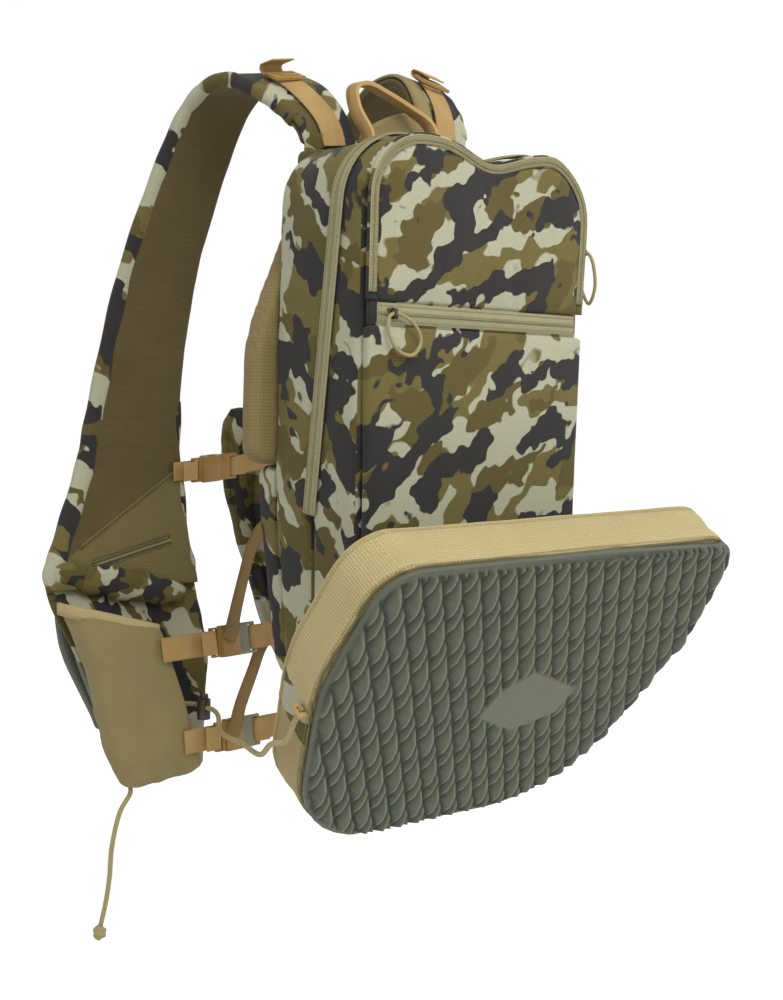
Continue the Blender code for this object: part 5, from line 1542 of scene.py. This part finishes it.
# %% Piping round the seat
def seat_ring(inset, depth):
    """The seat's outline drawn in by an inset, at a depth, as points of the world."""
    made = []
    for p, way in zip(rim, rim_ways):
        out_way = way.cross(Vector((0.0, 1.0, 0.0)))
        if out_way.dot(p - Vector((0.0, 0.0, -0.02))) < 0.0:
            out_way = -out_way
        spot_in = p - out_way * inset
        made.append(SEAT_PLACE @ Vector((spot_in.x, depth, spot_in.z)))
    return made


SEAT_THROUGH = SEAT_PLACE.to_3x3() @ Vector((0.0, 1.0, 0.0))
cushion = surface_of(item.data)


def on_cushion(ring, rise):
    """Points moved to the cushion's skin, a little above it, and evened out."""
    spots = []
    for p in ring:
        near, facing, *_ = cushion.find_nearest(p)
        spots.append(near + facing * rise)
    return [(spots[i - 1] + spots[i] * 2 + spots[(i + 1) % len(spots)]) / 4 for i in range(len(spots))]


for name, depth, radius, look in (("rear", -0.0130, 0.0014, BINDING), ("base", -0.0603, 0.0013, COATED)):
    bm = swept(round_section(radius, 8), on_cushion(seat_ring(0.0, depth), 0.0002), SEAT_THROUGH, closed=True)
    carry(link("seat_piping_" + name, bm, look), "seat", "tan_mesh")
for name, depth in (("rear", -0.0175), ("base", -0.0560)):
    ring = on_cushion(seat_ring(0.0, depth), 0.0)
    stitch("seat_stitch_" + name, ring + ring[:1], 0.0036, THREAD, "seat", "tan_mesh")
print("piping made")

# %% [markdown]
# The base is a sheet of closed-cell foam pressed into columns of leaf-shaped scales, a long and a
# short one by turns. This takes the most care of all the pieces. A grid is stretched into the
# outline, and each vertex finds its column, its leaf and its distance to that leaf's edge. A crease
# runs along the edge, a ridge stands just inside it, and the middle is a little dished. The column
# borders sway, the creases slant, and the lower right of each leaf stands highest, as if it lay over
# the next. A six-sided patch stays flat, and the relief fades at the rim.

# %% Moulded base of the seat
LEAF_WIDE, LEAF_TALL, LEAF_LEAN, LEAF_RISE = 0.0205, 0.0425, 0.616, 0.0046
LEAF_START = Vector((-0.1441, 0.1113))
LONG_SHARE, LEAF_DROP = 0.62, 0.80
BASE_BACK, BASE_FRONT = -0.0607, -0.0657
PATCH = ((-0.0202, -0.0429), (-0.0088, -0.0113), (0.0210, 0.0086), (0.0943, -0.0211), (0.0833, -0.0530),
         (0.0353, -0.0686))


def edges_at(height, inset):
    """Left and right ends of the seat's outline at a height."""
    found = []
    count = len(belt)
    for i in range(count):
        (x1, z1), (x2, z2) = belt[i], belt[(i + 1) % count]
        if (z1 - height) * (z2 - height) <= 0.0 and z1 != z2:
            found.append(x1 + (x2 - x1) * (height - z1) / (z2 - z1))
    return min(found) + inset, max(found) - inset


def leaf_at(x, z):
    """Height of the relief at a place, from 0 in a crease to 1, and how much painted highlight its lip takes."""
    row = (z - LEAF_START.y) / LEAF_TALL
    column = (x - LEAF_START.x + LEAF_LEAN * (z - LEAF_START.y)) / LEAF_WIDE
    s = (column - 0.10 * math.sin(math.pi * (row % 1.0))) % 1.0
    rest = max(1.0 - s, 0.03)
    t = (row + LEAF_DROP * rest ** 0.75) % 1.0
    slope = LEAF_DROP * 0.75 * rest ** -0.25 * LEAF_TALL / LEAF_WIDE
    size = (LONG_SHARE if t < LONG_SHARE else 1.0 - LONG_SHARE)
    share = t / size if t < LONG_SHARE else (t - LONG_SHARE) / size
    reach = size * LEAF_TALL / math.sqrt(1.0 + slope * slope)
    lip = min(share * reach, rest * LEAF_WIDE * 0.85)
    root = min((1.0 - share) * reach, s * LEAF_WIDE * 0.85)
    height = smooth_step(0.0005, 0.0025, lip) * (0.34 + 0.66 * smooth_step(0.0, 0.0075, root))
    # Painted highlight: a pale band just inside each leaf's lip.
    worn = (smooth_step(0.0012, 0.0024, lip) * (1.0 - smooth_step(0.0024, 0.0056, lip))
            * smooth_step(0.0010, 0.004, root))
    return height * (0.30 + 0.70 * smooth_step(0.0, 0.0018, root)), worn


def in_patch(x, z):
    """How far a place lies inside the flat patch, negative outside."""
    inside = []
    for (ax, az), (bx, bz) in zip(PATCH, PATCH[1:] + PATCH[:1]):
        length = math.hypot(bx - ax, bz - az)
        inside.append(((x - ax) * (bz - az) - (z - az) * (bx - ax)) / length)
    return min(inside)


bm = bmesh.new()
bmesh.ops.create_grid(bm, x_segments=390, y_segments=236, size=1.0)
layers = {word: bm.verts.layers.float.new(word) for word in ("crease_shade_height", "worn", "bare")}
base_low, base_high = seat_low + 0.0042, seat_high - 0.0042
QUARTER = math.pi / 2 * 0.985
row_ends = {}
for v in bm.verts:
    u, w = v.co.x, round(v.co.y, 5)
    if w not in row_ends:
        rise = 0.5 + 0.5 * math.sin(w * QUARTER) / math.sin(QUARTER)
        z = base_low + (base_high - base_low) * rise
        row_ends[w] = (z, *edges_at(z, 0.0034))
    z, left, right_end = row_ends[w]
    x = (left + right_end) / 2 + (right_end - left) / 2 * u
    fade = smooth_step(0.0032, 0.0070, rim_distance(Vector((x, 0.0, z)))[1])
    patch = smooth_step(-0.0004, 0.0020, in_patch(x, z))
    height, worn = leaf_at(x, z)
    height = height * fade * (1.0 - patch) + 0.74 * patch
    # The relief height is stored for the painted crease shade; near the rim it is held up so that no painted shade
    # falls there.
    v[layers["crease_shade_height"]] = max(height, 0.62 * (1.0 - fade))
    # Painted highlight: the band inside each lip, and a pale band of 0.35 at the rim.
    v[layers["worn"]] = max(worn * fade * (1.0 - patch), 0.35 * (1.0 - fade))
    v[layers["bare"]] = patch
    v.co = (x, BASE_FRONT - LEAF_RISE * height - 0.0008 * fade, z)
rim_edges = [e for e in bm.edges if e.is_boundary]
made = bmesh.ops.extrude_edge_only(bm, edges=rim_edges)["geom"]
for v in made:
    if isinstance(v, bmesh.types.BMVert):
        v.co.y = BASE_BACK
bmesh.ops.contextual_create(bm, geom=[g for g in made if isinstance(g, bmesh.types.BMEdge)])
bmesh.ops.recalc_face_normals(bm, faces=bm.faces)
bmesh.ops.transform(bm, matrix=SEAT_PLACE, verts=bm.verts)
# The foam's own colour; two attributes then paint shade into the creases and a highlight along the lips.
SCALES = moulded("pressed_foam_scales", srgb(90, 96, 76), srgb(79, 85, 66), 0.60, pebble=0.0003, size=420.0)
tree, shader = SCALES.node_tree, SCALES.node_tree.nodes["Principled BSDF"]
crease_shade_height, worn, bare = (add(tree, "Attribute", attribute_name=word)["Fac"] for word in layers)
body = shader.inputs["Base Color"].links[0].from_socket
# Painted shade: where the relief is low, in the creases, the foam is darkened almost to black.
body = tint(tree, between(tree, crease_shade_height, 0.80, 0.10, 0.0, 0.90), body, srgb(26, 30, 21))
# Painted highlight: the lips, and the rim, are lightened towards a pale grey.
body = tint(tree, between(tree, worn, 0.05, 0.95, 0.0, 0.60), body, srgb(140, 140, 120))
body = tint(tree, maths(tree, "MULTIPLY", bare, 0.80), body, srgb(112, 111, 93))
tree.links.new(body, shader.inputs["Base Color"])
base = carry(link("seat_base_scales", bm, SCALES), "seat", "moulded_foam", "seat_base")
print("base of", len(base.data.polygons), "faces")
